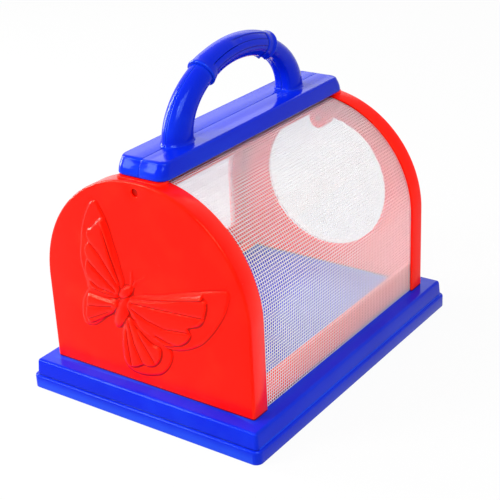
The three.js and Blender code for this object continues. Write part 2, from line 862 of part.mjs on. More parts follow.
function doorWasher() {
  const ends = [plateFace + fit, doorInner - fit];
  const ring = rodY(washerRadius, ...ends, 0, pivotHeight);
  const hole = rodY(screwHole, ends[0] - overrun, ends[1] + overrun, 0, pivotHeight);
  return toGeometry(ring.subtract(hole));
}

function doorPivotScrew() {
  const tip = plateInner - pivotBossLength + fit;
  const length = doorOuter + fit - tip;
  const geometry = screwGeometry(length);
  geometry.translate(0, tip, pivotHeight);
  return geometry;
}

// The assembly

function part(name, geometry, material) {
  const mesh = new THREE.Mesh(geometry, material);
  mesh.name = name;
  return mesh;
}

const handle = handleShell();
const cage = new THREE.Group();
cage.add(
  part('front_plate', frontPlate(), redPlastic),
  part('rear_plate', rearPlate(), redPlastic),
  part('front_net_hoop', netHoop(-1), redPlastic),
  part('rear_net_hoop', netHoop(1), redPlastic),
  part('left_side_rail', sideRail(-1), redPlastic),
  part('right_side_rail', sideRail(1), redPlastic),
  part('top_rail', topRail(), redPlastic),
  part('net_cover', netCover(), netPlastic),
  part('handle_half_left', handleHalf(handle, -1), bluePlastic),
  part('handle_half_right', handleHalf(handle, 1), bluePlastic),
  part('grip_sleeve', gripSleeve(), bluePlastic),
  ...seatScrewPlaces().map((place, i) => part(`seat_screw_${i + 1}`, seatScrew(place), screwSteel)),
  ...[-1, 1].map((end, i) => part(`handle_screw_${i + 1}`, handleScrew(end), screwSteel)),
  part('door_pivot_screw', doorPivotScrew(), screwSteel),
  part('door_washer', doorWasher(), clearPlastic),
);

const swingDoor = new THREE.Group();
swingDoor.add(part('door', door(), clearPlastic));

const breedingBox = new THREE.Group();
breedingBox.add(part('base_tray', baseTray(), bluePlastic), cage, swingDoor);

export default breedingBox;
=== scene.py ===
import math

import bmesh
import bpy
import numpy as np
from bpy.props import FloatProperty, FloatVectorProperty, PointerProperty
from bpy.types import Operator, Panel, PropertyGroup
from mathutils import Matrix, Vector


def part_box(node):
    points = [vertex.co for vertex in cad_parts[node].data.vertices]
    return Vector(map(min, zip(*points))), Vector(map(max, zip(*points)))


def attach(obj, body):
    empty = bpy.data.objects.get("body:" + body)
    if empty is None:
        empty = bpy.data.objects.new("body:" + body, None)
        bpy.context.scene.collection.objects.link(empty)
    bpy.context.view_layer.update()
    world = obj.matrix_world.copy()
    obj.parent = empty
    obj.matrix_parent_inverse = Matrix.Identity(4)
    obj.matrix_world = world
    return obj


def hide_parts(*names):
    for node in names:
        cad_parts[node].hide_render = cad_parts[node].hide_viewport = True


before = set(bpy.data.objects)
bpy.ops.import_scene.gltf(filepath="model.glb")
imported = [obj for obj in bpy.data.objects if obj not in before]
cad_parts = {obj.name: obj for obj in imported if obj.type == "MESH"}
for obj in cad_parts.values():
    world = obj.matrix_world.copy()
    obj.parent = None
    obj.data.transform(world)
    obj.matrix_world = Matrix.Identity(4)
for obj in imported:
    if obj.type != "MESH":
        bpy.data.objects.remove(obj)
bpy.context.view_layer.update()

bl_info = {
    "name": "Insect breeding box",
    "version": (1, 0, 0),
    "blender": (4, 5, 0),
    "location": "View3D > Sidebar > Breeding box",
    "description": (
        "Builds the moulded tray, arched cage, net, handle and door of an insect breeding box"
    ),
    "category": "Object",
}


# Places and sizes that the frame gives, in millimetres


def box_mm(node):
    low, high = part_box(node)
    return np.array(low) * 1000, np.array(high) * 1000


TRAY_HIGH = box_mm("base_tray")[1]
REAR_LOW, REAR_HIGH = box_mm("rear_plate")
NET_LOW, NET_HIGH = box_mm("net_cover")
HOOP_LOW, HOOP_HIGH = box_mm("front_net_hoop")
RAIL_LOW, RAIL_HIGH = box_mm("right_side_rail")
CREST_LOW, CREST_HIGH = box_mm("top_rail")
HANDLE_LOW, HANDLE_HIGH = box_mm("handle_half_right")
GRIP_TOP = box_mm("grip_sleeve")[1][2]
DOOR_LOW, DOOR_HIGH = box_mm("door")
WASHER_LOW, WASHER_HIGH = box_mm("door_washer")
SEAT_SCREW_LOW, SEAT_SCREW_HIGH = box_mm("seat_screw_4")
JOINT_SCREW_LOW, JOINT_SCREW_HIGH = box_mm("handle_screw_2")
PIVOT_SCREW_LOW, PIVOT_SCREW_HIGH = box_mm("door_pivot_screw")

SEAT_RISE = 0.5
SEAT_HALF = 15.6
SEAT_SETBACK = 2.6
SEAT_TOP = REAR_HIGH[2]
ARCH_RADIUS = REAR_HIGH[0]
SPRING = SEAT_TOP - SEAT_RISE - ARCH_RADIUS
FACE = REAR_HIGH[1]
FLANGE_DEPTH = REAR_HIGH[1] - REAR_LOW[1]
FLANGE_WALL = 1.5
PLATE_WALL = 2.4
INNER_FACE = FACE - PLATE_WALL
FOOT = NET_LOW[2]
DECK = TRAY_HIGH[2]

TIER_HEIGHT = 8.4
TRAY_CORNER = 4.5
DECK_WALL = 2.4
TONGUE_END = REAR_LOW[2]
TONGUE_PLACE = 45
TONGUE_HALF = 7
BOSS_REACH = 4.9
PEG_HEIGHT = CREST_HIGH[2] - 5.0

BAR_BOTTOM = HANDLE_LOW[2]
BAR_HEIGHT = 10.2
BAR_TOP = BAR_BOTTOM + BAR_HEIGHT
BAR_HALF_LENGTH = HANDLE_HIGH[1]
BAR_HALF_WIDTH = HANDLE_HIGH[0]
ARCH_MIDDLE = -0.55
ARCH_SPAN = 57.5
ARCH_RISE = 39.3
LEG_FLATNESS = 0.8
LEG_FRONT_FULLNESS = 1.11
LEG_REAR_FULLNESS = 0.89
NECK_RADIUS = 6.4
SLEEVE_BORE = 6.75
GRIP_HALF = 33.0
GRIP_LIFT = 0.48
GRIP_RADIUS = GRIP_TOP - BAR_TOP - ARCH_RISE - GRIP_LIFT
GRIP_START = math.acos(GRIP_HALF / ARCH_SPAN)

OPENING_RADIUS = 46.9
OPENING_HEIGHT = 80.2
PIVOT_HEIGHT = (PIVOT_SCREW_LOW[2] + PIVOT_SCREW_HIGH[2]) / 2
PIVOT_BORE = 1.8
DOOR_WALL = 2.0
DOOR_EAR = 8.0
WASHER_RADIUS = 5.0
PULL_DROP = 37
SCREW_HEAD = 1.8
SCREW_END = 2
JOINT_HEIGHT = (JOINT_SCREW_LOW[2] + JOINT_SCREW_HIGH[2]) / 2
JOINT_PLACE = (JOINT_SCREW_LOW[1] + JOINT_SCREW_HIGH[1]) / 2


# Mesh building


def arc(centre_u, centre_v, radius, start, end, steps):
    angles = np.radians(np.linspace(start, end, steps + 1))
    return [(centre_u + radius * math.cos(a), centre_v + radius * math.sin(a)) for a in angles]


def rounded_ring(half_x, half_y, radius, steps=10):
    radius = min(radius, half_x, half_y)
    ring = []
    for sx, sy, start in [(1, 1, 0), (-1, 1, 90), (-1, -1, 180), (1, -1, 270)]:
        x, y = sx * (half_x - radius), sy * (half_y - radius)
        ring += arc(x, y, radius, start, start + 90, steps)
    return ring


def circle_ring(radius, sides=64):
    angles = np.linspace(0, 2 * math.pi, sides, endpoint=False)
    return [(radius * math.cos(a), radius * math.sin(a)) for a in angles]


def rings_along(x, z, stops, sides):
    """A ring about an axis along Y at each stop (y, radius)."""
    return [[(x + u, y, z + v) for u, v in circle_ring(radius, sides)] for y, radius in stops]


def loft(rings, closed=False):
    """Points and faces of a skin through rings of equally many 3D points, capped at both ends."""
    count = len(rings[0])
    points = [p for ring in rings for p in ring]
    faces = []
    for i in range(len(rings) if closed else len(rings) - 1):
        here, there = i * count, ((i + 1) % len(rings)) * count
        for j in range(count):
            k = (j + 1) % count
            faces.append((here + j, here + k, there + k, there + j))
    if not closed:
        faces.append(tuple(reversed(range(count))))
        faces.append(tuple((len(rings) - 1) * count + j for j in range(count)))
    return points, faces


def joined(*shells):
    points, faces = [], []
    for shell_points, shell_faces in shells:
        start = len(points)
        points += list(shell_points)
        faces += [tuple(start + i for i in face) for face in shell_faces]
    return points, faces


def block(x, y, z, radius=0.5, steps=3, corner=None):
    """A box between two bounds along each axis, with rounded edges and upright corners."""
    corner = radius if corner is None else corner
    cx, cy = (x[0] + x[1]) / 2, (y[0] + y[1]) / 2
    hx, hy = abs(x[1] - x[0]) / 2, abs(y[1] - y[0]) / 2
    levels = [(radius - u, min(z) + radius + v) for u, v in arc(0, 0, radius, -90, 0, steps)]
    levels += [(radius - u, max(z) - radius + v) for u, v in arc(0, 0, radius, 0, 90, steps)]
    rings = []
    for inset, height in levels:
        ring = rounded_ring(hx - inset, hy - inset, max(corner - inset, 0.02), steps)
        rings.append([(cx + u, cy + v, height) for u, v in ring])
    return loft(rings)


def tube(outer, inner, y0, y1, x, z, edge=0.25, sides=48):
    """A ring about an axis along Y, with softened edges."""
    lo, hi = min(y0, y1), max(y0, y1)
    stops = [(lo, inner + edge), (lo, outer - edge), (lo + edge, outer), (hi - edge, outer)]
    stops += [(hi, outer - edge), (hi, inner + edge), (hi - edge, inner), (lo + edge, inner)]
    return loft(rings_along(x, z, stops, sides), closed=True)


def plain_mesh(name, shell):
    points, faces = shell
    mesh = bpy.data.meshes.new(name)
    mesh.from_pydata([tuple(0.001 * c for c in p) for p in points], [], faces)
    mesh.update()
    return mesh


def face_outwards(mesh):
    bm = bmesh.new()
    bm.from_mesh(mesh)
    bmesh.ops.remove_doubles(bm, verts=bm.verts, dist=1e-7)
    bmesh.ops.dissolve_degenerate(bm, dist=1e-8, edges=bm.edges)
    bmesh.ops.recalc_face_normals(bm, faces=bm.faces)
    bm.to_mesh(mesh)
    bm.free()
    return mesh


def put_in_scene(name, data):
    piece = bpy.data.objects.new(name, data)
    bpy.context.scene.collection.objects.link(piece)
    return piece


def make_piece(name, *shells):
    """A piece in the scene from closed shells, with its faces outward."""
    return put_in_scene(name, face_outwards(plain_mesh(name, joined(*shells))))


def add_mesh(mesh, extra):
    """Adds one mesh to another and deletes it."""
    bm = bmesh.new()
    bm.from_mesh(mesh)
    bm.from_mesh(extra)
    bm.to_mesh(mesh)
    bm.free()
    bpy.data.meshes.remove(extra)


def keep_result(piece):
    """Turns what the modifiers make into the piece's own mesh."""
    bpy.context.view_layer.update()
    graph = bpy.context.evaluated_depsgraph_get()
    made = bpy.data.meshes.new_from_object(piece.evaluated_get(graph), depsgraph=graph)
    piece.modifiers.clear()
    old, piece.data = piece.data, made
    if old.users == 0:
        bpy.data.meshes.remove(old)


def cut_away(piece, name, *shells):
    """Takes shapes out of a piece."""
    cutter = make_piece(name, *shells)
    cut = piece.modifiers.new("Cut", "BOOLEAN")
    cut.operation = "DIFFERENCE"
    cut.solver = "EXACT"
    cut.object = cutter
    keep_result(piece)
    mesh = cutter.data
    bpy.data.objects.remove(cutter)
    bpy.data.meshes.remove(mesh)


def dress(piece, kind, body, nodes, sharp=32):
    """Gives a finished piece its surface and its body, and hides the nodes that it stands for."""
    mesh = piece.data
    mesh.materials.clear()
    mesh.materials.append(finish_of(kind))
    mesh.polygons.foreach_set("material_index", [0] * len(mesh.polygons))
    mesh.shade_smooth()
    mesh.set_sharp_from_angle(angle=math.radians(sharp))
    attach(piece, body)
    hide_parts(*nodes)


# Node trees, for surfaces and for repeated shapes


def fill_sockets(tree, node, values):
    """Links or sets a node's inputs. A list of sockets is linked to one input."""
    for key, value in values.items():
        sources = value if isinstance(value, list) else [value]
        if isinstance(sources[0], bpy.types.NodeSocket):
            for source in sources:
                tree.links.new(source, node.inputs[key])
        else:
            node.inputs[key].default_value = value


def add_node(tree, kind, inputs=None, output=0, **settings):
    """Adds a node with its settings and inputs, and gives one of its outputs."""
    node = tree.nodes.new(kind)
    for key, value in settings.items():
        setattr(node, key, value)
    fill_sockets(tree, node, inputs or {})
    return node.outputs[output]


def maths(tree, operation, first, second):
    return add_node(tree, "ShaderNodeMath", {0: first, 1: second}, operation=operation)


# Surfaces


def new_material(name):
    material = bpy.data.materials.new(name)
    material.use_nodes = True
    tree = material.node_tree
    return material, tree, add_node(tree, "ShaderNodeTexCoord", output="Object")


def noise(tree, where, scale, detail=2.0, roughness=0.5, stretch=None):
    if stretch is not None:
        where = add_node(tree, "ShaderNodeMapping", {"Vector": where, "Scale": stretch})
    settings = {"Vector": where, "Scale": scale, "Detail": detail, "Roughness": roughness}
    return add_node(tree, "ShaderNodeTexNoise", settings, "Fac")


def remap(tree, value, low, high, to_low, to_high):
    return add_node(tree, "ShaderNodeMapRange", {
        "Value": value, "From Min": low, "From Max": high, "To Min": to_low, "To Max": to_high,
    })


def blend(tree, factor, first, second):
    return add_node(tree, "ShaderNodeMix", {0: factor, 6: first, 7: second}, 2, data_type="RGBA")


def paint(colour, factor=1.0):
    return (*(min(1.0, c * factor) for c in colour[:3]), 1)


def bumps(tree, height, strength, distance):
    settings = {"Height": height, "Strength": strength, "Distance": distance}
    return add_node(tree, "ShaderNodeBump", settings)


def painted_foot_shade(tree, where, colour):
    """Paints shade into the plastic along the line where it stands on the deck: a dark contact
    line.
    """
    height = add_node(tree, "ShaderNodeSeparateXYZ", {0: where}, "Z")
    above = remap(tree, height, 0.001 * (FOOT + 0.35), 0.001 * (FOOT + 1.1), 0.9, 0)
    below = remap(tree, height, 0.001 * (FOOT - 0.7), 0.001 * (FOOT - 0.3), 0, 1)
    # The dark maroon is painted shade, standing in for the shadow of the gap under the foot.
    return blend(tree, maths(tree, "MULTIPLY", above, below), colour, (0.02, 0.002, 0.012, 1))


def moulded_plastic(tree, where, colour, gloss, pale_wear_and_highlight, sheen, paint_foot_shade=False):
    """Glossy plastic with colour drift, flow lines, scuffs, edges paled as wear and painted
    highlight, painted shade in creases and, when asked, painted shade along the foot.
    """
    drift = remap(tree, noise(tree, where, 14, 3.0), 0.35, 0.65, 0, 1)
    tone = blend(tree, drift, paint(colour, 0.95), paint(colour, 1.05))
    flow = noise(tree, where, 38, stretch=(1, 0.3, 1))
    tone = blend(tree, remap(tree, flow, 0.5, 0.8, 0, 0.1), tone, paint(pale_wear_and_highlight))
    bend = add_node(tree, "ShaderNodeNewGeometry", output="Pointiness")
    # Convex edges paled: partly wear, partly a painted highlight.
    tone = blend(tree, remap(tree, bend, 0.515, 0.58, 0, 0.3), tone, paint(pale_wear_and_highlight))
    # Painted shade: concave creases and hollows darkened.
    tone = blend(tree, remap(tree, bend, 0.478, 0.498, 0.85, 0), tone, paint(colour, 0.35))
    # Painted shade along the foot, for pieces that stand on the deck.
    if paint_foot_shade:
        tone = painted_foot_shade(tree, where, tone)
    smooth = remap(tree, noise(tree, where, 22), 0.35, 0.65, gloss, gloss + 0.06)
    scuff = remap(tree, noise(tree, where, 120, 4.0, 0.65, (1, 0.35, 1.6)), 0.6, 0.75, 0, 0.09)
    sink = maths(tree, "MULTIPLY", noise(tree, where, 60, 1.0), 3.0)
    peel = maths(tree, "ADD", noise(tree, where, 420), sink)
    return {
        "Base Color": tone, "Roughness": maths(tree, "ADD", smooth, scuff),
        "Normal": bumps(tree, peel, 0.12, 0.0002), "IOR": 1.5, "Specular IOR Level": 0.14,
        "Specular Tint": paint(sheen),
    }


def net_plastic(tree, where, colour):
    """White net thread: slightly dusty, satin, with fine drawn lines."""
    dust = remap(tree, noise(tree, where, 40, 4.0), 0.45, 0.75, 0, 1)
    dusted = blend(tree, dust, paint(colour), paint(colour, 0.93))
    fleck = noise(tree, where, 700)
    flecked = remap(tree, fleck, 0.4, 0.8, 0, 0.5)
    return {
        "Base Color": blend(tree, flecked, dusted, paint(colour, 0.96)),
        "Roughness": remap(tree, fleck, 0.3, 0.7, 0.42, 0.6),
        "Normal": bumps(tree, noise(tree, where, 1500, 1.0), 0.15, 0.0001), "IOR": 1.5,
        "Subsurface Weight": 1.0, "Subsurface Radius": (1.0, 1.0, 1.0), "Subsurface Scale": 0.001,
    }


def clear_plastic(tree, where, colour):
    """Clear moulded plastic with faint haze, flow waves and scuffs."""
    haze = remap(tree, noise(tree, where, 30, 3.0), 0.3, 0.7, 0, 1)
    scuff = noise(tree, where, 300, stretch=(1, 1, 0.1))
    return {
        "Base Color": blend(tree, haze, paint(colour), paint(colour, 0.985)),
        "Roughness": remap(tree, scuff, 0.6, 0.75, 0.01, 0.05),
        "Normal": bumps(tree, noise(tree, where, 45, 1.0), 0.02, 0.0003),
        "Transmission Weight": 1.0, "IOR": 1.3,
    }


def screw_steel(tree, where, colour):
    """Turned steel: fine tool marks and a little tarnish."""
    tarnish = noise(tree, where, 350, 3.0)
    dulled = remap(tree, tarnish, 0.4, 0.7, 0, 1)
    return {
        "Base Color": blend(tree, dulled, paint(colour), paint(colour, 0.7)),
        "Roughness": remap(tree, tarnish, 0.3, 0.7, 0.28, 0.5),
        "Normal": bumps(tree, noise(tree, where, 4000, 1.0), 0.2, 0.00005), "Metallic": 1.0,
    }


def finish_of(kind):
    """The surface of one kind, made once."""
    name = f"{kind}_surface"
    if name in bpy.data.materials:
        return bpy.data.materials[name]
    look = bpy.context.scene.breeding_box_finish
    maker, settings = {
        # Red and blue: gloss, a pale colour for flow lines and for edges paled as wear and painted
        # highlight, a reflection tint, and for the red painted shade along the foot.
        "red": (moulded_plastic, (look.gloss + 0.06, (0.98, 0.06, 0.02), (1.0, 0.6, 0.35), True)),
        "blue": (moulded_plastic, (look.gloss, (0.02, 0.12, 0.85), (0.4, 0.72, 1.0))),
        "net": (net_plastic, ()),
        "clear": (clear_plastic, ()),
        "steel": (screw_steel, ()),
    }[kind]
    material, tree, where = new_material(name)
    values = maker(tree, where, getattr(look, kind), *settings)
    fill_sockets(tree, tree.nodes["Principled BSDF"], values)
    return material


# Tray: two tiers with softened edges, a hollow underside and four slots


def tray_rings(look):
    """Rings from the hollow's roof down its wall, round the rim and up the tiers to the deck."""
    edge, ledge = look.edge_radius * 1000, look.ledge_radius * 1000
    soft, fillet, rim, wall, tier, top = 0.3, 0.35, 2.2, 5.1, 2.0, 2.8
    roof, shelf = DECK - DECK_WALL, TIER_HEIGHT - 2.2
    levels = [(wall + 3.5, roof), (wall + soft, roof), (wall, roof - soft), (wall, shelf + soft)]
    levels += [(wall - soft, shelf), (rim + 0.4, shelf), (rim, shelf - 0.4)]
    levels += [(rim, soft), (rim - soft, 0.0), (soft, 0.0)]
    levels += [(soft - u, soft + v) for u, v in arc(0, 0, soft, -60, 0, 2)]
    levels += [(0.05 + ledge - u, TIER_HEIGHT - ledge + v) for u, v in arc(0, 0, ledge, 0, 90, 6)]
    levels += [
        (tier - fillet + u, TIER_HEIGHT + fillet + v) for u, v in arc(0, 0, fillet, -90, 0, 3)
    ]
    levels += [(tier + 0.05, TIER_HEIGHT + 1.4), (top - 0.05, DECK - edge)]
    levels += [(top + edge - u, DECK - edge + v) for u, v in arc(0, 0, edge, 8, 90, 8)]
    levels += [(top + edge + 0.6, DECK), (9.0, DECK)]
    rings = []
    for inset, z in levels:
        corner = max(TRAY_CORNER - inset, 0.8)
        ring = rounded_ring(TRAY_HIGH[0] - inset, TRAY_HIGH[1] - inset, corner, 12)
        rings.append([(x, y, z) for x, y in ring])
    return rings


class BREEDINGBOX_OT_tray(Operator):
    """Build the two-tier moulded base tray"""

    bl_idname = "breeding_box.tray"
    bl_label = "Base tray"

    def execute(self, context):
        tray = make_piece("base_tray_moulded", loft(tray_rings(context.scene.breeding_box_tray)))
        half, room = TONGUE_HALF + 0.3, 0.3
        cut_away(tray, "tray_slots", *(
            block(
                (side * TONGUE_PLACE - half, side * TONGUE_PLACE + half),
                (end * (INNER_FACE - room), end * (FACE - 0.5)), (DECK - 6, DECK + 2), room,
            )
            for side in (-1, 1) for end in (-1, 1)
        ))
        dress(tray, "blue", "base", ["base_tray"])
        return {"FINISHED"}


# Butterfly relief, as heights over the front plate in millimetres

LEFT_FOREWING = [
    (-13.8, 82.2), (-15.5, 92.2), (-17.1, 99.7), (-19.3, 107), (-20.8, 112.9), (-23.2, 120.5),
    (-26.4, 126.5), (-29.8, 130.6), (-33.5, 129.1), (-35.9, 125.6), (-39.3, 119.1), (-42.1, 111.4),
    (-44.1, 101.5), (-45.5, 93.2), (-45.2, 88.4), (-44.1, 83.8), (-42.6, 78.4), (-39.4, 71.3),
    (-20, 72),
]
LEFT_FOREWING_PANEL = [
    (-16.5, 80.5), (-19.5, 91), (-22.2, 101), (-24.4, 111.5), (-25.9, 120.5), (-29.2, 118.6),
    (-32, 116), (-34.2, 113.7), (-36.6, 112.7), (-38.2, 109), (-37.4, 105.2), (-40.8, 99.6),
    (-40.3, 93.4), (-42.1, 86.5), (-40.5, 80.3), (-38, 74.5), (-20, 73.5),
]
LEFT_HINDWING = [
    (-20, 70), (-38, 71.5), (-42, 72), (-46.2, 66), (-48.3, 59.6), (-48.5, 52.9), (-47, 49),
    (-43.6, 48.2), (-39.5, 49.3), (-34, 53.3), (-27.5, 59.2), (-20, 64),
]
LEFT_HINDWING_PANEL = [
    (-20, 69), (-38, 70), (-41.8, 69.4), (-43.5, 63.9), (-45, 56.9), (-44.6, 51.9), (-42, 50.5),
    (-38, 52), (-32, 56), (-22, 63),
]
RIGHT_FOREWING = [
    (-9.9, 74.8), (10.5, 80.9), (28.9, 86.9), (43.1, 91.4), (59, 95.7), (61.1, 93.8), (59.9, 88.2),
    (57.7, 82.3), (54.3, 76.1), (50, 69.5), (44.4, 62.4), (38.7, 56.9), (31.3, 52.4), (23.9, 49.5),
    (16.6, 48.6), (5, 50), (-11, 65),
]
RIGHT_FOREWING_PANEL = [
    (-9.7, 73.5), (10.3, 78), (42.3, 87), (46, 84), (44.2, 76.2), (42.6, 72.7), (39.8, 69.6),
    (36.1, 67.8), (32.3, 65.9), (33.5, 62.3), (31.9, 58.7), (28.9, 55.5), (25.2, 53.2),
    (20.5, 51.5), (15.8, 50.2), (12, 50.8), (-4, 57.5), (-10.5, 66),
]
RIGHT_HINDWING = [
    (-13, 62), (-15.4, 59.1), (-17.8, 51), (-18.8, 42.4), (-18.8, 34), (-17, 28.5), (-11.9, 25.7),
    (-4.3, 25.5), (3.5, 27.4), (9.3, 30), (14.4, 35.2), (17.8, 42), (17.4, 47.6), (12, 50),
]
RIGHT_HINDWING_PANEL = [
    (-12, 61), (-16.5, 51), (-17.6, 42.4), (-17.5, 34), (-15.6, 29.5), (-12.6, 28.6), (-7.7, 30.1),
    (-3.1, 32.7), (1.1, 32.7), (6.1, 34.9), (9.7, 39.4), (11.2, 44.7), (10.1, 47.7), (3.7, 49.2),
    (-6, 56),
]
WINGS = [LEFT_FOREWING, LEFT_HINDWING, RIGHT_FOREWING, RIGHT_HINDWING]
PANELS = [LEFT_FOREWING_PANEL, LEFT_HINDWING_PANEL, RIGHT_FOREWING_PANEL, RIGHT_HINDWING_PANEL]
VEINS = [
    [(-16.5, 79.5), (-29.5, 98), (-37.4, 105.2)],
    [(-19.6, 77), (-32, 86.3), (-40.3, 93.4)],
    [(-19.9, 74.8), (-32.3, 76), (-40.5, 80.3)],
    [(-23.4, 69), (-38, 69.8)],
    [(-23.8, 65.7), (-34, 63.4), (-44, 61.5)],
    [(-25.2, 62), (-35, 57), (-44.6, 52)],
    [(-8, 72), (10.7, 73), (42.8, 75.4)],
    [(-8.3, 68), (2.4, 63.6), (15, 61.3), (32.3, 63.5)],
    [(8, 55.3), (16.1, 53.2), (22, 52.5)],
    [(-9, 66.5), (-4, 56.5), (3.8, 50.1)],
    [(-14.1, 59.2), (-13.8, 44.3), (-12.4, 30)],
    [(-12, 60.5), (-8.9, 45.7), (-3.3, 33)],
    [(-9.8, 62), (-3.6, 50), (6, 36)],
]
RIDGES = [
    {
        "foot": [(-13.8, 82.2), (-17.1, 99.7), (-22.9, 120.2)],
        "crest": [(-15, 82), (-20.6, 99), (-25.8, 120)],
    },
    {
        "foot": [(-9.9, 74.8), (20, 84.2), (43.1, 91.4)],
        "crest": [(-9.6, 74), (20, 81.3), (42.5, 87.4)],
    },
]
BODY_PARTS = [
    {"centre": (-16.4, 64.0), "length": 12.8, "width": 4.4, "tilt": 0.48, "height": 3.0},
    {"centre": (-12.6, 77.6), "length": 6.8, "width": 3.1, "tilt": 0.86, "height": 2.7},
]
FEELERS = [[(-9.2, 80.5), (-7.8, 86), (-7.4, 91.7)], [(-8.4, 80.2), (-4.5, 86), (2.4, 90.5)]]
RELIEF_X = (-52.0, 65.0)
RELIEF_Z = (22.5, 134.0)
RELIEF_BORDER = 1.5
FLANGE_CLEARANCE = 4
WING_BORDER = 0.3
MARGIN_SLOPE, PANEL_SLOPE = 1.0, 1.2
SWELL, SWELL_REACH = 0.6, 1.2
VEIN_DEPTH, VEIN_WIDTH = 0.55, 0.45
RIDGE_START = 0.9
RIDGE_SLOPE, RIDGE_END = 1.2, 1.7
FEELER_HEIGHT, FEELER_TAPER, FEELER_WIDTH = 0.75, 0.3, 0.55


def smooth_loop(points, per_side=6):
    """A closed curve through the points."""
    corners = np.array(points, float)
    count = len(corners)
    out = []
    for i in range(count):
        before, a, b, after = (corners[(i + k) % count] for k in (-1, 0, 1, 2))
        for t in np.linspace(0, 1, per_side, endpoint=False):
            out.append(0.5 * (
                2 * a + (b - before) * t + (2 * before - 5 * a + 4 * b - after) * t**2
                + (3 * a - before - 3 * b + after) * t**3
            ))
    return np.array(out)


def run_along(line):
    """How far along a line of points each of them lies."""
    return np.concatenate([[0], np.cumsum(np.linalg.norm(np.diff(line, axis=0), axis=1))])


def line_distance(x, z, line):
    """The distance to a line of points, and how far along it the nearest place is, from 0 to 1."""
    line = np.array(line, float)
    run = run_along(line)
    best, along = np.full(x.shape, np.inf), np.zeros(x.shape)
    for i in range(len(line) - 1):
        a, side = line[i], line[i + 1] - line[i]
        t = np.clip(((x - a[0]) * side[0] + (z - a[1]) * side[1]) / (side @ side), 0, 1)
        far = np.hypot(x - a[0] - t * side[0], z - a[1] - t * side[1])
        along = np.where(far < best, (run[i] + t * (run[i + 1] - run[i])) / run[-1], along)
        best = np.minimum(far, best)
    return best, along


def point_along(line, share):
    """The place at a share of a line of points, as x and z."""
    line = np.array(line, float)
    run = run_along(line)
    return [np.interp(share, run / run[-1], line[:, k]) for k in (0, 1)]


def inside_loop(x, z, loop):
    hit = np.zeros(x.shape, bool)
    for (x0, z0), (x1, z1) in zip(loop, np.roll(loop, -1, axis=0)):
        if z0 != z1:
            hit ^= ((z0 > z) != (z1 > z)) & (x < (x1 - x0) * (z - z0) / (z1 - z0) + x0)
    return hit


def soft_step(value):
    value = np.clip(value, 0, 1)
    return value * value * (3 - 2 * value)


def wing_share(x, z, points, slope):
    """0 outside a wing's outline and 1 inside it, with a soft slope along it."""
    loop = smooth_loop(points)
    far, _ = line_distance(x, z, np.vstack([loop, loop[:1]]))
    return soft_step((np.where(inside_loop(x, z, loop), far, -far) + WING_BORDER) / slope)


def swell_between_veins(x, z):
    """How a wing's panel swells between its veins and dips along them."""
    groove = np.minimum.reduce([line_distance(x, z, vein)[0] for vein in VEINS])
    swell = SWELL * (1 - np.exp(-groove / SWELL_REACH))
    return swell - VEIN_DEPTH * np.exp(-((groove / VEIN_WIDTH) ** 2))


def ridge_rise(x, z, shape, low, high):
    """A ridge that is steep behind its crest, slopes to its foot line and rises along its way."""
    _, along = line_distance(x, z, shape["crest"])
    foot_x, foot_z = point_along(shape["foot"], along)
    crest_x, crest_z = point_along(shape["crest"], along)
    width = np.hypot(foot_x - crest_x, foot_z - crest_z)
    out_x, out_z = (foot_x - crest_x) / width, (foot_z - crest_z) / width
    across = (x - crest_x) * out_x + (z - crest_z) * out_z
    slope = np.where(across >= 0, across / (width + WING_BORDER), -across / RIDGE_SLOPE)
    past = np.hypot(x - crest_x, z - crest_z) ** 2 - across**2
    fade = 1 - soft_step(np.sqrt(np.clip(past, 0, None)) / RIDGE_END)
    return (low + (high - low) * along) * (1 - soft_step(slope)) * fade


def body_rise(x, z, part):
    """A tilted half egg."""
    dx, dz = x - part["centre"][0], z - part["centre"][1]
    s, c = math.sin(part["tilt"]), math.cos(part["tilt"])
    along, across = dx * s + dz * c, dx * c - dz * s
    bulge = 1 - (along / part["length"]) ** 2 - (across / part["width"]) ** 2
    return part["height"] * np.sqrt(np.clip(bulge, 0, 1))


def feeler_rise(x, z, line):
    far, along = line_distance(x, z, line)
    return (FEELER_HEIGHT - FEELER_TAPER * along) * np.exp(-((far / FEELER_WIDTH) ** 2))


def relief_top(x):
    """The upper border of the relief's mesh, level or just inside the plate's arch."""
    return np.minimum(RELIEF_Z[1], SPRING + np.sqrt((ARCH_RADIUS - FLANGE_CLEARANCE) ** 2 - x**2))


def relief_heights(x, z, look):
    """The butterfly over the face: the highest of its parts, softened, and level at the border."""
    margin, ridge = look.margin_height * 1000, look.ridge_height * 1000
    swelling = look.panel_height * 1000 + swell_between_veins(x, z)
    parts = [margin * wing_share(x, z, outline, MARGIN_SLOPE) for outline in WINGS]
    parts += [swelling * wing_share(x, z, outline, PANEL_SLOPE) for outline in PANELS]
    parts += [ridge_rise(x, z, shape, margin * RIDGE_START, ridge) for shape in RIDGES]
    parts += [body_rise(x, z, part) for part in BODY_PARTS]
    parts += [feeler_rise(x, z, line) for line in FEELERS]
    height = np.maximum.reduce([np.zeros(x.shape), *parts])
    for _ in range(2):
        wide = np.pad(height, 1, mode="edge")
        beside = wide[1:-1, 2:] + wide[1:-1, :-2] + wide[2:, 1:-1] + wide[:-2, 1:-1]
        height = (4 * height + 2 * beside) / 12
    rim = [x - RELIEF_X[0], RELIEF_X[1] - x, z - RELIEF_Z[0], relief_top(x) - z]
    return height * soft_step(np.minimum.reduce(rim) / RELIEF_BORDER)


# End plates

HOLE_EDGE = 0.5
SEAT_WALL, SEAT_CORNER = 3.0, 3.0
LEDGE_GAP, LEDGE_REACH = 2.3, 6
LEDGE_FOOT, LEDGE_TOP = 2.3, 5.3
BOSS_RADIUS, BOSS_BORE = 3.0, 2.0
PIVOT_BOSS, PIVOT_BOSS_REACH = 6.5, 7
DIMPLE_DROP = 6.2
DIMPLE_STEPS = [(2.7, 0.0), (2.56, 0.05), (2.46, 0.2), (2.4, 1.3), (2.3, 1.5), (2.1, 1.56)]


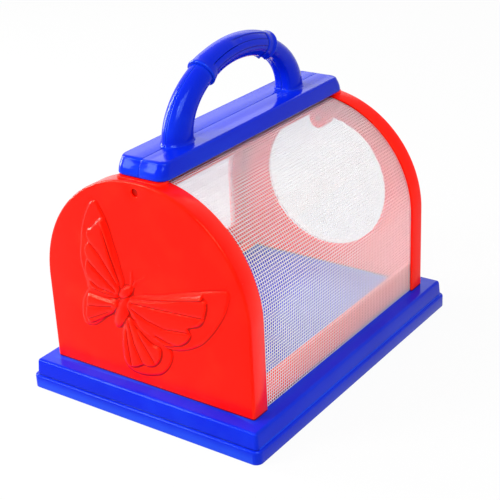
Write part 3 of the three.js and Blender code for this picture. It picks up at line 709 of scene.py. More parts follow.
def arch_line(radius, bottom, arc_steps=120, rise_steps=6):
    """Points and outward directions from the right foot over the crown to the left foot."""
    rises = np.linspace(bottom, SPRING, rise_steps, endpoint=False)
    turn = [(math.cos(a), math.sin(a)) for a in np.linspace(0, math.pi, arc_steps + 1)]
    points = [(radius, z) for z in rises]
    points += [(radius * x, SPRING + radius * z) for x, z in turn]
    points += [(-radius, z) for z in reversed(rises)]
    return points, [(1.0, 0.0)] * rise_steps + turn + [(-1.0, 0.0)] * rise_steps


def plate_profile(edge):
    """(inset, depth) from the inner face round the flange's end to the outer face."""
    fillet, lip, middle = 0.8, 0.4, FLANGE_WALL / 2
    inner, start = FLANGE_WALL + fillet, PLATE_WALL + fillet
    profile = [(inner - u, start + v) for u, v in arc(0, 0, fillet, -90, 0, 4)]
    profile += [(FLANGE_WALL, FLANGE_DEPTH - lip)]
    profile += [
        (middle + middle * math.cos(a), FLANGE_DEPTH - lip + lip * math.sin(a))
        for a in np.radians([30, 60, 90, 120, 150])
    ]
    profile += [(0.0, FLANGE_DEPTH - lip), (0.0, edge + 0.1)]
    return profile + [(edge - u, edge - v) for u, v in arc(0, 0, edge, 0, 90, 7)]


def fill_flat(bm, edges, normal):
    bmesh.ops.triangle_fill(bm, use_beauty=True, use_dissolve=False, edges=edges, normal=normal)


def loop_edges(bm, verts):
    pairs = zip(verts, [*verts[1:], verts[0]])
    return [bm.edges.get(pair) or bm.edges.new(pair) for pair in pairs]


def join_rows(bm, rows, closed=False):
    """Faces between rows of equally many vertices."""
    for first, second in zip(rows, rows[1:]):
        for j in range(len(first) if closed else len(first) - 1):
            k = (j + 1) % len(first)
            bm.faces.new((first[j], first[k], second[k], second[j]))


def plate_shell(end, look, hole=None, relief=False):
    """The moulded end plate, open below, with its opening or its relief in the face."""
    bm = bmesh.new()

    def vert(x, depth, z):
        return bm.verts.new((0.001 * x, 0.001 * end * (FACE - depth), 0.001 * z))

    def round_steps(steps, height, sides):
        rings = [
            [vert(u, depth, height + v) for u, v in circle_ring(r, sides)] for r, depth in steps
        ]
        join_rows(bm, rings, closed=True)
        return rings[0], rings[-1]

    line, normals = arch_line(ARCH_RADIUS, FOOT)
    columns = [
        [vert(x - nx * inset, depth, z - nz * inset) for (x, z), (nx, nz) in zip(line, normals)]
        for inset, depth in plate_profile(look.edge_radius * 1000)
    ]
    join_rows(bm, columns)
    for k in (0, -1):
        bm.faces.new([column[k] for column in columns])
    inner, outer = columns[0], columns[-1]
    bm.faces.new((outer[0], inner[0], inner[-1], outer[-1]))
    outer_edges, inner_edges = loop_edges(bm, outer), loop_edges(bm, inner)
    if hole is not None:
        radius, height = hole
        edge, far = HOLE_EDGE, PLATE_WALL - HOLE_EDGE
        steps = [(radius + edge - u, edge - v) for u, v in arc(0, 0, edge, 90, 0, 4)]
        steps += [(radius + edge - u, far - v) for u, v in arc(0, 0, edge, 0, -90, 4)]
        front, back = round_steps(steps, height, 128)
        outer_edges += loop_edges(bm, front)
        inner_edges += loop_edges(bm, back)
    if relief:
        pitch = look.relief_pitch * 1000
        across = np.linspace(*RELIEF_X, round((RELIEF_X[1] - RELIEF_X[0]) / pitch) + 1)
        shares = np.linspace(0, 1, round((RELIEF_Z[1] - RELIEF_Z[0]) / pitch) + 1)
        grid_x, grid_share = np.meshgrid(across, shares, indexing="ij")
        grid_z = RELIEF_Z[0] + grid_share * (relief_top(grid_x) - RELIEF_Z[0])
        heights = relief_heights(grid_x, grid_z, look)
        grid = [[vert(*place) for place in zip(*row)] for row in zip(grid_x, -heights, grid_z)]
        join_rows(bm, grid)
        border = grid[0][:-1] + [row[-1] for row in grid[:-1]] + grid[-1][:0:-1]
        border += [row[0] for row in reversed(grid[1:])]
        outer_edges += loop_edges(bm, border)
        front, floor = round_steps(DIMPLE_STEPS, SPRING + ARCH_RADIUS - DIMPLE_DROP, 40)
        bm.faces.new(floor)
        outer_edges += loop_edges(bm, front)
    fill_flat(bm, outer_edges, (0, end, 0))
    fill_flat(bm, inner_edges, (0, -end, 0))
    bmesh.ops.recalc_face_normals(bm, faces=bm.faces)
    return bm


def plate_fittings(end):
    """Seat for the bar, tongues, ledges over the rails' feet, and the crest rail's boss."""
    def ys(near, far):
        return (end * near, end * far)

    shells = [block(
        (-SEAT_HALF, SEAT_HALF), ys(FACE - SEAT_SETBACK, FACE - FLANGE_DEPTH + 0.1),
        (SEAT_TOP - SEAT_WALL, SEAT_TOP), 0.5, 6, corner=SEAT_CORNER,
    )]
    for side in (-1, 1):
        tongue = side * TONGUE_PLACE
        shells.append(block(
            (tongue - TONGUE_HALF, tongue + TONGUE_HALF), ys(INNER_FACE + 0.02, FACE - 0.8),
            (TONGUE_END, FOOT + 2), 0.35,
        ))
        shells.append(block(
            (side * RAIL_LOW[0], side * (RAIL_HIGH[0] - LEDGE_GAP)),
            ys(INNER_FACE + 0.5, INNER_FACE - LEDGE_REACH),
            (FOOT + LEDGE_FOOT, FOOT + LEDGE_TOP), 0.4,
        ))
    boss_ends = ys(INNER_FACE + 0.4, INNER_FACE - BOSS_REACH)
    shells.append(tube(BOSS_RADIUS, BOSS_BORE, *boss_ends, 0, PEG_HEIGHT, 0.2))
    return shells


def finish_plate(node, bm, fittings):
    """Adds the fittings to a plate's shell and puts the piece in the scene."""
    name = node + "_moulded"
    mesh = bpy.data.meshes.new(name)
    bm.to_mesh(mesh)
    bm.free()
    add_mesh(mesh, face_outwards(plain_mesh(name + "_fittings", joined(*fittings))))
    dress(put_in_scene(name, mesh), "red", "cage", [node], sharp=38)


class BREEDINGBOX_OT_front_plate(Operator):
    """Build the front plate with its moulded butterfly relief"""

    bl_idname = "breeding_box.front_plate"
    bl_label = "Front plate"

    def execute(self, context):
        look = context.scene.breeding_box_plates
        finish_plate("front_plate", plate_shell(-1, look, relief=True), plate_fittings(-1))
        return {"FINISHED"}


class BREEDINGBOX_OT_rear_plate(Operator):
    """Build the rear plate with its round opening and pivot boss"""

    bl_idname = "breeding_box.rear_plate"
    bl_label = "Rear plate"

    def execute(self, context):
        look = context.scene.breeding_box_plates
        shell = plate_shell(1, look, hole=(OPENING_RADIUS, OPENING_HEIGHT))
        reach = INNER_FACE - PIVOT_BOSS_REACH
        boss = tube(PIVOT_BOSS, PIVOT_BORE, reach, FACE - 0.04, 0, PIVOT_HEIGHT, 0.4)
        finish_plate("rear_plate", shell, plate_fittings(1) + [boss])
        return {"FINISHED"}


# Rails and hoops inside the cage

RAIL_WALL = 2
HOOP_WALL, CREST_WALL = 1.4, 2.0
CREST_MARGIN = 4.3
RIB_HALF, RIB_DROP = 4, 1.7
PEG_RADIUS, PEG_BORE = 1.7, 0.4
PLAY = 0.3


def arch_strip(thick, y0, y1, edge, path):
    """A strip of plastic bent along a path over the arch."""
    ring = rounded_ring(thick / 2, abs(y1 - y0) / 2, edge, 3)
    section = [(u - thick / 2, (y0 + y1) / 2 + v) for u, v in ring]
    return loft([
        [(x + nx * rise, y, z + nz * rise) for rise, y in section]
        for (x, z), (nx, nz) in zip(*path)
    ])


def crest_path(radius, lean):
    """Points and outward directions over the crown, to a lean in degrees on either side."""
    angles = np.radians(np.linspace(90 - lean, 90 + lean, 17))
    turn = [(math.cos(a), math.sin(a)) for a in angles]
    return [(radius * x, SPRING + radius * z) for x, z in turn], turn


def rail_section(side, edge=0.35, fillet=0.8):
    """A side rail's L section."""
    outer, toe, bottom, top = RAIL_HIGH[0], RAIL_LOW[0], RAIL_LOW[2], RAIL_HIGH[2]
    inner, foot_top = outer - RAIL_WALL, bottom + RAIL_WALL
    corners = arc(outer - edge, bottom + edge, edge, -90, 0, 3)
    corners += arc(outer - edge, top - edge, edge, 0, 90, 3)
    corners += arc(inner + edge, top - edge, edge, 90, 180, 3)
    corners += arc(inner - fillet, foot_top + fillet, fillet, 0, -90, 4)
    corners += arc(toe + edge, foot_top - edge, edge, 90, 180, 3)
    corners += arc(toe + edge, bottom + edge, edge, 180, 270, 3)
    return [(side * x, z) for x, z in corners]


def side_rail(side, soft=0.3):
    """A side rail whose ends are drawn in a little."""
    section = rail_section(side)
    mid_x, mid_z = np.mean(section, axis=0)
    near, far, drawn_in = RAIL_LOW[1], RAIL_HIGH[1], 1 - soft / 12
    rings = []
    for y, size in [(near, drawn_in), (near + soft, 1), (far - soft, 1), (far, drawn_in)]:
        rings.append([
            (mid_x + (x - mid_x) * size, y, mid_z + (z - mid_z) * size) for x, z in section
        ])
    return loft(rings)


def crest_rail():
    """The strip under the net's crest, with its rib and the peg in the plates' bosses."""
    reach, rib_end = abs(HOOP_HIGH[1]) - PLAY, INNER_FACE - BOSS_REACH - PLAY
    lean = math.degrees(math.asin((CREST_HIGH[0] - CREST_MARGIN) / HOOP_HIGH[0]))
    rib_height = (CREST_LOW[2], CREST_HIGH[2] - RIB_DROP)
    return joined(
        arch_strip(CREST_WALL, -reach, reach, 0.4, crest_path(HOOP_HIGH[0], lean)),
        block((-RIB_HALF, RIB_HALF), (-rib_end, rib_end), rib_height, 0.5),
        tube(PEG_RADIUS, PEG_BORE, CREST_LOW[1], CREST_HIGH[1], 0, PEG_HEIGHT, 0.2, 24),
    )


class BREEDINGBOX_OT_rails(Operator):
    """Build the side rails, the crest rail and the two net hoops"""

    bl_idname = "breeding_box.rails"
    bl_label = "Rails and hoops"

    def execute(self, context):
        near, far = abs(HOOP_LOW[1]), abs(HOOP_HIGH[1])
        hoop_path = arch_line(HOOP_HIGH[0], HOOP_LOW[2], 96, 4)
        shells = {
            "left_side_rail": side_rail(-1),
            "right_side_rail": side_rail(1),
            "front_net_hoop": arch_strip(HOOP_WALL, -near, -far, 0.3, hoop_path),
            "rear_net_hoop": arch_strip(HOOP_WALL, near, far, 0.3, hoop_path),
            "top_rail": crest_rail(),
        }
        for node, shell in shells.items():
            dress(make_piece(node + "_moulded", shell), "red", "cage", [node])
        return {"FINISHED"}


# Net: threads over the arch crossed by threads along the box

NET_RISE = 0.2
CROSSING_SHARE = 0.14


def node_tree(name, inputs):
    """A tree with named inputs, and the sockets that they give."""
    tree = bpy.data.node_groups.new(name, "GeometryNodeTree")
    tree.interface.new_socket("Geometry", in_out="INPUT", socket_type="NodeSocketGeometry")
    for label, kind, value in inputs:
        socket = tree.interface.new_socket(label, in_out="INPUT", socket_type="NodeSocket" + kind)
        socket.default_value = value
    tree.interface.new_socket("Geometry", in_out="OUTPUT", socket_type="NodeSocketGeometry")
    return tree, tree.nodes.new("NodeGroupInput").outputs


def end_tree(tree, geometry, kind):
    """Makes the repeated shapes real and gives them their surface."""
    real = add_node(tree, "GeometryNodeRealizeInstances", {"Geometry": geometry})
    material = {"Geometry": real, "Material": finish_of(kind)}
    coloured = add_node(tree, "GeometryNodeSetMaterial", material)
    fill_sockets(tree, tree.nodes.new("NodeGroupOutput"), {"Geometry": coloured})
    return tree


def vector(tree, **parts):
    return add_node(tree, "ShaderNodeCombineXYZ", parts)


def moved(tree, geometry, offset):
    return add_node(tree, "GeometryNodeTransform", {"Geometry": geometry, "Translation": offset})


def copies(tree, points, shape, **turn):
    inputs = {"Points": points, "Instance": shape, **turn}
    return add_node(tree, "GeometryNodeInstanceOnPoints", inputs)


def run_nodes(piece, tree, values):
    """Runs a node tree on a piece with its inputs set, and keeps the result as plain mesh."""
    modifier = piece.modifiers.new(tree.name, "NODES")
    modifier.node_group = tree
    for item in tree.interface.items_tree:
        if item.item_type == "SOCKET" and item.in_out == "INPUT" and item.name in values:
            modifier[item.identifier] = values[item.name]
    keep_result(piece)


def net_tree():
    """Threads over a path, and just inside them the threads that cross it, from end to end."""
    tree, given = node_tree("Net threads", [
        ("Thread Diameter", "Float", 0.0009),
        ("Crossing Offset", "Float", 0.0001),
        ("Length", "Float", 0.19),
        ("Threads Over", "Int", 99),
        ("Threads Along", "Int", 172),
    ])
    near = maths(tree, "MULTIPLY", given["Length"], -0.5)
    gaps = maths(tree, "SUBTRACT", given["Threads Over"], 1.0)
    first, last = vector(tree, Y=near), vector(tree, Y=maths(tree, "MULTIPLY", near, -1.0))
    path = add_node(tree, "GeometryNodeMeshToCurve", {"Mesh": given["Geometry"]})
    places = add_node(tree, "GeometryNodeMeshLine", {
        "Count": given["Threads Over"], "Start Location": first,
        "Offset": vector(tree, Y=maths(tree, "DIVIDE", given["Length"], gaps)),
    })
    over = copies(tree, places, path)

    way = {0: add_node(tree, "GeometryNodeInputTangent"), 1: (0, 1, 0)}
    inward = add_node(tree, "ShaderNodeVectorMath", way, operation="CROSS_PRODUCT")
    scaled = {0: inward, "Scale": given["Crossing Offset"]}
    shift = add_node(tree, "ShaderNodeVectorMath", scaled, operation="SCALE")
    even = add_node(tree, "GeometryNodeResampleCurve", {
        "Curve": path, "Count": given["Threads Along"],
    })
    under = add_node(tree, "GeometryNodeSetPosition", {"Geometry": even, "Offset": shift})
    straight = add_node(tree, "GeometryNodeCurvePrimitiveLine", {"Start": first, "End": last})
    lines = add_node(tree, "GeometryNodeJoinGeometry", {
        "Geometry": [over, copies(tree, under, straight)],
    })
    section = add_node(tree, "GeometryNodeCurvePrimitiveCircle", {
        "Resolution": 6, "Radius": maths(tree, "MULTIPLY", given["Thread Diameter"], 0.5),
    })
    threads = add_node(tree, "GeometryNodeCurveToMesh", {
        "Curve": add_node(tree, "GeometryNodeRealizeInstances", {"Geometry": lines}),
        "Profile Curve": section, "Fill Caps": True,
    })
    return end_tree(tree, threads, "net")


class BREEDINGBOX_OT_net(Operator):
    """Lay the net's threads over the arch and along the box"""

    bl_idname = "breeding_box.net"
    bl_label = "Net"

    def execute(self, context):
        look = context.scene.breeding_box_net
        thread, spacing = look.thread_diameter * 1000, look.spacing * 1000
        radius = (NET_HIGH[0] + HOOP_HIGH[0]) / 2 + NET_RISE
        bottom = FOOT + thread / 2
        line, _ = arch_line(radius, bottom, 44, 1)
        mesh = bpy.data.meshes.new("net_threads")
        points = [(0.001 * x, 0, 0.001 * z) for x, z in line]
        mesh.from_pydata(points, [(i, i + 1) for i in range(len(line) - 1)], [])
        net = put_in_scene("net_threads", mesh)
        length = NET_HIGH[1] - NET_LOW[1] - thread
        path = 2 * (SPRING - bottom) + math.pi * radius
        run_nodes(net, net_tree(), {
            "Thread Diameter": look.thread_diameter,
            "Crossing Offset": look.thread_diameter * CROSSING_SHARE,
            "Length": 0.001 * length,
            "Threads Over": round(length / spacing) + 1,
            "Threads Along": round(path / spacing) + 1,
        })
        dress(net, "net", "cage", ["net_cover"], sharp=70)
        return {"FINISHED"}


# Handle: bar and arch in two halves, grip sleeve

LEG_HALF_WIDTH, LEG_HALF_DEPTH = 7.8, 6.7
FLARE, FLARE_HEIGHT = 0.8, 1.6
SINK = 2.0
BAR_FOOT, BAR_CORNER = 1.1, 6.5
SIDE_DRAFT, END_DRAFT = 0.9, 3.2
WELL_RADIUS, WELL_DEPTH = 3.2, 1.8
GRIP_STEPS = [
    (0, 0), (28, 0), (31, -0.6), (60, -0.65), (62, -1.1), (64.5, -0.45), (92, -0.5), (94.5, -0.95),
    (97, -0.55), (180, -0.6),
]
GRIP_STEP_HEIGHT = 0.0006
SHOULDER_LEAN = 61
CUFF_LENGTH = 8.2


def arch_frame(t):
    """A place on the handle's centreline and its outward direction, in the YZ plane."""
    place = np.array([ARCH_MIDDLE + ARCH_SPAN * math.cos(t), BAR_TOP + ARCH_RISE * math.sin(t)])
    outward = np.array([ARCH_RISE * math.cos(t), ARCH_SPAN * math.sin(t)])
    return place, outward / np.linalg.norm(outward)


def leg_size(t):
    """A leg's half width and half depth, which grow towards the bar."""
    lean = 1 - math.sin(t)
    flare = FLARE * max(0.0, 1 - ARCH_RISE * math.sin(t) / FLARE_HEIGHT) ** 2
    return LEG_HALF_WIDTH + 0.3 * lean + flare, LEG_HALF_DEPTH + 4.2 * lean**1.6 + flare


def leg_section(width, depth, flat, fullness):
    """A rounded section whose inner side is flattened and whose outer side is fuller or slimmer."""
    ring = []
    for u, v in circle_ring(1.0, 56):
        u, v, floor = width * u, depth * v, -depth * flat
        if v < floor:
            v = floor - 0.12 * (floor - v)
        ring.append((u, v * fullness if v > 0 else v))
    return ring


def handle_arch():
    """Two legs, whose feet sink into the bar, and a round neck between them inside the grip."""
    stops = [*np.linspace(0, 0.04, 7), *np.linspace(0.04, GRIP_START, 28)[1:]]
    half = [(t, *leg_size(t), LEG_FLATNESS) for t in stops]
    neck = np.linspace(GRIP_START + 0.02, math.pi / 2, 20)
    half += [(t, NECK_RADIUS, NECK_RADIUS, 1.0) for t in neck]
    rings = []
    for t, width, depth, flat in half + [(math.pi - t, *size) for t, *size in reversed(half[:-1])]:
        place, outward = arch_frame(t)
        if flat < 1:
            fullness = LEG_REAR_FULLNESS if t < 1 else LEG_FRONT_FULLNESS
        else:
            place, fullness = place + outward * GRIP_LIFT, 1.0
        rings.append([
            (u, place[0] + outward[0] * v, place[1] + outward[1] * v)
            for u, v in leg_section(width, depth, flat, fullness)
        ])
    sunk = [[(x, y, z - SINK) for x, y, z in ring] for ring in (rings[0], rings[-1])]
    return loft([sunk[0], *rings, sunk[1]])


def handle_bar(look):
    """The bar under the arch: a rounded foot, drafted sides and ends that bow over into the top."""
    edge, bow, foot = look.edge_radius * 1000, look.end_bow * 1000, BAR_FOOT
    side_foot, side_top = BAR_BOTTOM + foot, BAR_TOP - edge
    levels = [(foot - u, foot - u, side_foot + v) for u, v in arc(0, 0, foot, -80, 0, 5)]
    for share in (0.2, 0.4, 0.6, 0.8):
        height = side_foot + (side_top - side_foot) * share
        levels.append((SIDE_DRAFT * share, END_DRAFT * share**2, height))
    side, end = SIDE_DRAFT + 0.05, END_DRAFT + 0.1
    for angle in np.radians(np.linspace(4, 90, 11)):
        over = 1 - math.cos(angle)
        levels.append((side + edge * over, end + bow * over, side_top + edge * math.sin(angle)))
    levels.append((side + edge + 2.0, end + bow + 2.0, BAR_TOP))
    rings = []
    for inset_x, inset_y, z in levels:
        half_x, half_y = BAR_HALF_WIDTH - inset_x, BAR_HALF_LENGTH - inset_y
        ring = rounded_ring(half_x, half_y, BAR_CORNER - 0.25 * inset_y, 14)
        rings.append([(x, y, z) for x, y in ring])
    return loft(rings)


def half_of(shell, name, side, look):
    """One side of a closed shell, cut flat beside the seam and softened along the cut."""
    points, faces = shell
    bm = bmesh.new()
    verts = [bm.verts.new([0.001 * c for c in p]) for p in points]
    for face in faces:
        bm.faces.new([verts[i] for i in face])
    bmesh.ops.recalc_face_normals(bm, faces=bm.faces)
    cut = bmesh.ops.bisect_plane(
        bm, geom=bm.verts[:] + bm.edges[:] + bm.faces[:], dist=1e-7,
        plane_co=(0.5 * side * look.seam_gap, 0, 0), plane_no=(-side, 0, 0), clear_outer=True,
    )
    rim = [e for e in cut["geom_cut"] if isinstance(e, bmesh.types.BMEdge)]
    bmesh.ops.edgeloop_fill(bm, edges=rim)
    bmesh.ops.recalc_face_normals(bm, faces=bm.faces)
    bmesh.ops.bevel(
        bm, geom=rim, offset=look.seam_edge, offset_type="OFFSET", segments=2, profile=0.5,
        affect="EDGES", clamp_overlap=True,
    )
    mesh = bpy.data.meshes.new(name)
    bm.to_mesh(mesh)
    bm.free()
    return mesh

def screw_wells():
    """Two round pockets for the heads of the handle's screws."""
    face = JOINT_SCREW_LOW[0]
    return [
        loft([
            [(x, end * JOINT_PLACE + u, JOINT_HEIGHT + v) for u, v in circle_ring(WELL_RADIUS, 32)]
            for x in (face - 3, face + WELL_DEPTH)
        ])
        for end in (-1, 1)
    ]


class BREEDINGBOX_OT_handle(Operator):
    """Build the carrying handle's two moulded halves"""

    bl_idname = "breeding_box.handle"
    bl_label = "Handle"

    def execute(self, context):
        look = context.scene.breeding_box_handle
        for side, node in ((-1, "handle_half_left"), (1, "handle_half_right")):
            name = node + "_moulded"
            piece = put_in_scene(name, half_of(handle_bar(look), name, side, look))
            if side < 0:
                cut_away(piece, "screw_wells", *screw_wells())
            add_mesh(piece.data, half_of(handle_arch(), name + "_arch", side, look))
            dress(piece, "blue", "cage", [node])
        return {"FINISHED"}


def grip_radius(lean, from_front, from_rear, look):
    """The sleeve's outer radius at an angle from its top and at a distance from each end."""
    shoulder = np.abs(lean) < SHOULDER_LEAN
    length = from_front + from_rear
    start, fade = np.where(shoulder, 0.36 * length, 3.0), np.where(shoulder, 0.1 * length, 4.0)
    relief = np.interp(np.abs(lean), *zip(*GRIP_STEPS)) * (look.panel_depth / GRIP_STEP_HEIGHT)
    relief = relief * soft_step((from_rear - CUFF_LENGTH) / 0.7)
    relief = relief * soft_step((from_front - start) / fade)
    flare = 0.6 * np.exp(-((from_front / 2.2) ** 2)) + 0.6 * np.exp(-((from_front / 10) ** 2))
    bead = 0.9 * np.exp(-(((from_rear - 1.4) / 1.6) ** 2))
    crease = 0.5 * np.exp(-(((from_rear - CUFF_LENGTH - 0.1) / 0.4) ** 2)) * (np.abs(lean) > 30)
    end_round = 0.6 * np.exp(-(np.minimum(from_front, from_rear) / 0.3))
    return GRIP_RADIUS + relief + flare + bead - crease - end_round


def grip_shell(look):
    """A sleeve round the neck, open along its underside."""
    turns = np.linspace(GRIP_START + 0.005, math.pi - GRIP_START - 0.005, 150)
    run = run_along([arch_frame(t)[0] for t in turns])
    leans = np.linspace(-166, 166, 133)
    rings = []
    for t, far in zip(turns, run):
        place, outward = arch_frame(t)
        place = place + outward * GRIP_LIFT
        outer = grip_radius(leans, run[-1] - far, far, look)
        ring = [*zip(leans, outer), *((lean, SLEEVE_BORE) for lean in leans[::-4])]
        sized = [(r * math.sin(math.radians(a)), r * math.cos(math.radians(a))) for a, r in ring]
        rings.append([(u, place[0] + outward[0] * v, place[1] + outward[1] * v) for u, v in sized])
    return loft(rings)


class BREEDINGBOX_OT_grip(Operator):
    """Build the grip sleeve round the handle's arch"""

    bl_idname = "breeding_box.grip"
    bl_label = "Grip sleeve"

    def execute(self, context):
        piece = make_piece("grip_sleeve_moulded", grip_shell(context.scene.breeding_box_handle))
        dress(piece, "blue", "cage", ["grip_sleeve"], sharp=45)
        return {"FINISHED"}


# Screws


def screw_tree():
    """A crowned head with a cross recess on a plain shank, at each point."""
    tree, given = node_tree("Pan head screws", [
        ("Head Radius", "Float", 0.0028),
        ("Head Height", "Float", 0.0018),
        ("Shank Radius", "Float", 0.0015),
        ("Shank Length", "Float", 0.012),
        ("Turn", "Rotation", (0, 0, 0)),
    ])
    radius, height, length = given["Head Radius"], given["Head Height"], given["Shank Length"]
    crown, reach, slit = (maths(tree, "MULTIPLY", radius, share) for share in (0.72, 1.15, 0.28))
    head = add_node(tree, "GeometryNodeMeshCone", {
        "Vertices": 32, "Side Segments": 1, "Radius Top": crown, "Radius Bottom": radius,
        "Depth": height,
    })
    sizes = [vector(tree, X=x, Y=y, Z=height) for x, y in ((reach, slit), (slit, reach))]
    arms = [add_node(tree, "GeometryNodeMeshCube", {"Size": size}) for size in sizes]
    cross = add_node(tree, "GeometryNodeMeshBoolean", {"Mesh 2": arms}, operation="UNION")
    driven = add_node(tree, "GeometryNodeMeshBoolean", {
        "Mesh 1": head, "Mesh 2": moved(tree, cross, vector(tree, Z=height)),
    }, operation="DIFFERENCE")
    shank = add_node(tree, "GeometryNodeMeshCylinder", {
        "Vertices": 20, "Side Segments": 1, "Radius": given["Shank Radius"], "Depth": length,
    })
    lowered = moved(tree, shank, vector(tree, Z=maths(tree, "MULTIPLY", length, -0.498)))
    screw = add_node(tree, "GeometryNodeJoinGeometry", {"Geometry": [driven, lowered]})
    return end_tree(tree, copies(tree, given["Geometry"], screw, Rotation=given["Turn"]), "steel")


class BREEDINGBOX_OT_screws(Operator):
    """Set the pan head screws of the bar, the handle and the door's pivot"""

    bl_idname = "breeding_box.screws"
    bl_label = "Screws"

    def execute(self, context):
        tree = screw_tree()
        seat_x, seat_y, _ = (SEAT_SCREW_LOW + SEAT_SCREW_HIGH) / 2
        seat, joint = SEAT_SCREW_LOW[2] + SCREW_HEAD, JOINT_SCREW_LOW[0] + SCREW_HEAD
        groups = [
            ("seat_screws", [f"seat_screw_{i}" for i in (1, 2, 3, 4)],
             [(sx * seat_x, sy * seat_y, seat) for sx in (-1, 1) for sy in (-1, 1)],
             (math.pi, 0, 0), SEAT_SCREW_HIGH[2] - SEAT_SCREW_LOW[2]),
            ("handle_screws", ["handle_screw_1", "handle_screw_2"],
             [(joint, end * JOINT_PLACE, JOINT_HEIGHT) for end in (-1, 1)],
             (0, -math.pi / 2, 0), JOINT_SCREW_HIGH[0] - JOINT_SCREW_LOW[0]),
            ("door_pivot_screw_steel", ["door_pivot_screw"],
             [(0, PIVOT_SCREW_HIGH[1] - SCREW_HEAD, PIVOT_HEIGHT)],
             (-math.pi / 2, 0, 0), PIVOT_SCREW_HIGH[1] - PIVOT_SCREW_LOW[1]),
        ]
        for name, nodes, places, turn, length in groups:
            piece = put_in_scene(name, plain_mesh(name, (places, [])))
            run_nodes(piece, tree, {"Turn": turn, "Shank Length": 0.001 * (length - SCREW_END)})
            dress(piece, "steel", "cage", nodes)
        return {"FINISHED"}


# Door: a clear disc with a raised rim, an ear at its pivot and a finger pull

DOOR_INNER, DOOR_OUTER = DOOR_LOW[1], DOOR_LOW[1] + DOOR_WALL
DISC_STEPS = [
    (0.9, DOOR_INNER), (0.35, DOOR_INNER + 0.1), (0.1, DOOR_INNER + 0.3), (0, DOOR_INNER + 0.6),
    (0, DOOR_OUTER - 0.5), (0.12, DOOR_OUTER - 0.2), (0.45, DOOR_OUTER), (1.9, DOOR_OUTER),
    (2.15, DOOR_OUTER - 0.12), (2.3, DOOR_OUTER - 0.4), (2.5, DOOR_OUTER - 0.55),
    (3.0, DOOR_OUTER - 0.6),
]
PULL_STEPS = [
    (-0.6, -0.65), (-0.2, -0.3), (0.1, 0.4), (0.8, 3.3), (1.0, 3.7), (1.4, 3.95), (2.0, 4.0),
]
PULL_HALF_LENGTH, PULL_HALF_WIDTH = 10, 2.6


def door_outline(inset, sides=192):
    """The disc and its ear as one outline, drawn in by an inset, as (x, z) points."""
    radius, ear, lift = DOOR_HIGH[0] - inset, DOOR_EAR - inset, PIVOT_HEIGHT - OPENING_HEIGHT
    outline = []
    for angle in np.linspace(0, 2 * math.pi, sides, endpoint=False):
        reach, up = radius, math.cos(angle)
        inside = ear**2 - (lift * math.sin(angle)) ** 2
        if inside > 0 and up > 0:
            reach = max(radius, lift * up + math.sqrt(inside))
        outline.append((reach * math.sin(angle), OPENING_HEIGHT + reach * up))
    return outline


def finger_pull():
    """A rounded bar that stands out from the door."""
    height = OPENING_HEIGHT - PULL_DROP
    rings = []
    for inset, rise in PULL_STEPS:
        ring = rounded_ring(PULL_HALF_LENGTH - inset, PULL_HALF_WIDTH - inset * 0.6, 1.3, 6)
        rings.append([(x, DOOR_OUTER + rise, height + z) for x, z in ring])
    return loft(rings)


class BREEDINGBOX_OT_door(Operator):
    """Build the clear swing door and its washer"""

    bl_idname = "breeding_box.door"
    bl_label = "Door"

    def execute(self, context):
        disc = loft([[(x, y, z) for x, z in door_outline(inset)] for inset, y in DISC_STEPS])
        door = make_piece("door_clear", disc, finger_pull())
        bore = [(DOOR_INNER - 2, PIVOT_BORE), (DOOR_OUTER + 2, PIVOT_BORE)]
        cut_away(door, "door_bore", loft(rings_along(0, PIVOT_HEIGHT, bore, 32)))
        dress(door, "clear", "door", ["door"])
        ring = tube(WASHER_RADIUS, PIVOT_BORE, WASHER_LOW[1], WASHER_HIGH[1], 0, PIVOT_HEIGHT, 0.2)
        washer = make_piece("door_washer_clear", ring)
        dress(washer, "clear", "cage", ["door_washer"])
        return {"FINISHED"}


# Stage: floor, lamps and camera

WHITE = (1, 1, 1, 1)
FLOOR_COLOUR = (0.6, 0.6, 0.6, 1)
FLOOR_RADIUS = 5000
LAMP_TARGET = (0, 0, 0.08)
CAMERA_TARGET = (0, 0.00135, 0.07)
CAMERA_SHIFT = (0.00925, -0.01076)


def towards(azimuth, elevation):
    """The direction out from the box, from an azimuth round it and a height in degrees."""
    a, e = math.radians(azimuth), math.radians(elevation)
    return Vector((math.sin(a) * math.cos(e), -math.cos(a) * math.cos(e), math.sin(e)))


def soft_lamp(name, azimuth, elevation, distance, size, power):
    """A rectangular lamp that faces the box."""
    data = bpy.data.lights.new(name, "AREA")
    data.shape = "RECTANGLE"
    data.size, data.size_y = size
    data.energy = power
    lamp = put_in_scene(name, data)
    out = towards(azimuth, elevation)
    lamp.location = Vector(LAMP_TARGET) + out * distance
    lamp.rotation_mode = "QUATERNION"
    lamp.rotation_quaternion = (-out).to_track_quat("-Z", "Y")


def show_plain(tree, output, lit, plain, share):
    """Shows plain white to the camera, straight, in a mirror or through clear plastic."""
    rays = tree.nodes.new("ShaderNodeLightPath").outputs
    seen = maths(tree, "MAXIMUM", rays["Is Camera Ray"], rays["Is Glossy Ray"])
    seen = maths(tree, "MAXIMUM", seen, rays["Is Transmission Ray"])
    factor = maths(tree, "MULTIPLY", seen, share)
    mix = add_node(tree, "ShaderNodeMixShader", {0: factor, 1: lit, 2: plain})
    fill_sockets(tree, tree.nodes[output], {"Surface": mix})


def white_floor(share):
    """A matt white floor that shows mostly as plain white where it is looked at."""
    material, tree, _ = new_material("floor_surface")
    tree.nodes.remove(tree.nodes["Principled BSDF"])
    matt = add_node(tree, "ShaderNodeBsdfDiffuse", {"Color": FLOOR_COLOUR})
    plain = add_node(tree, "ShaderNodeEmission", {"Color": WHITE, "Strength": 1.0})
    show_plain(tree, "Material Output", matt, plain, share)
    return material


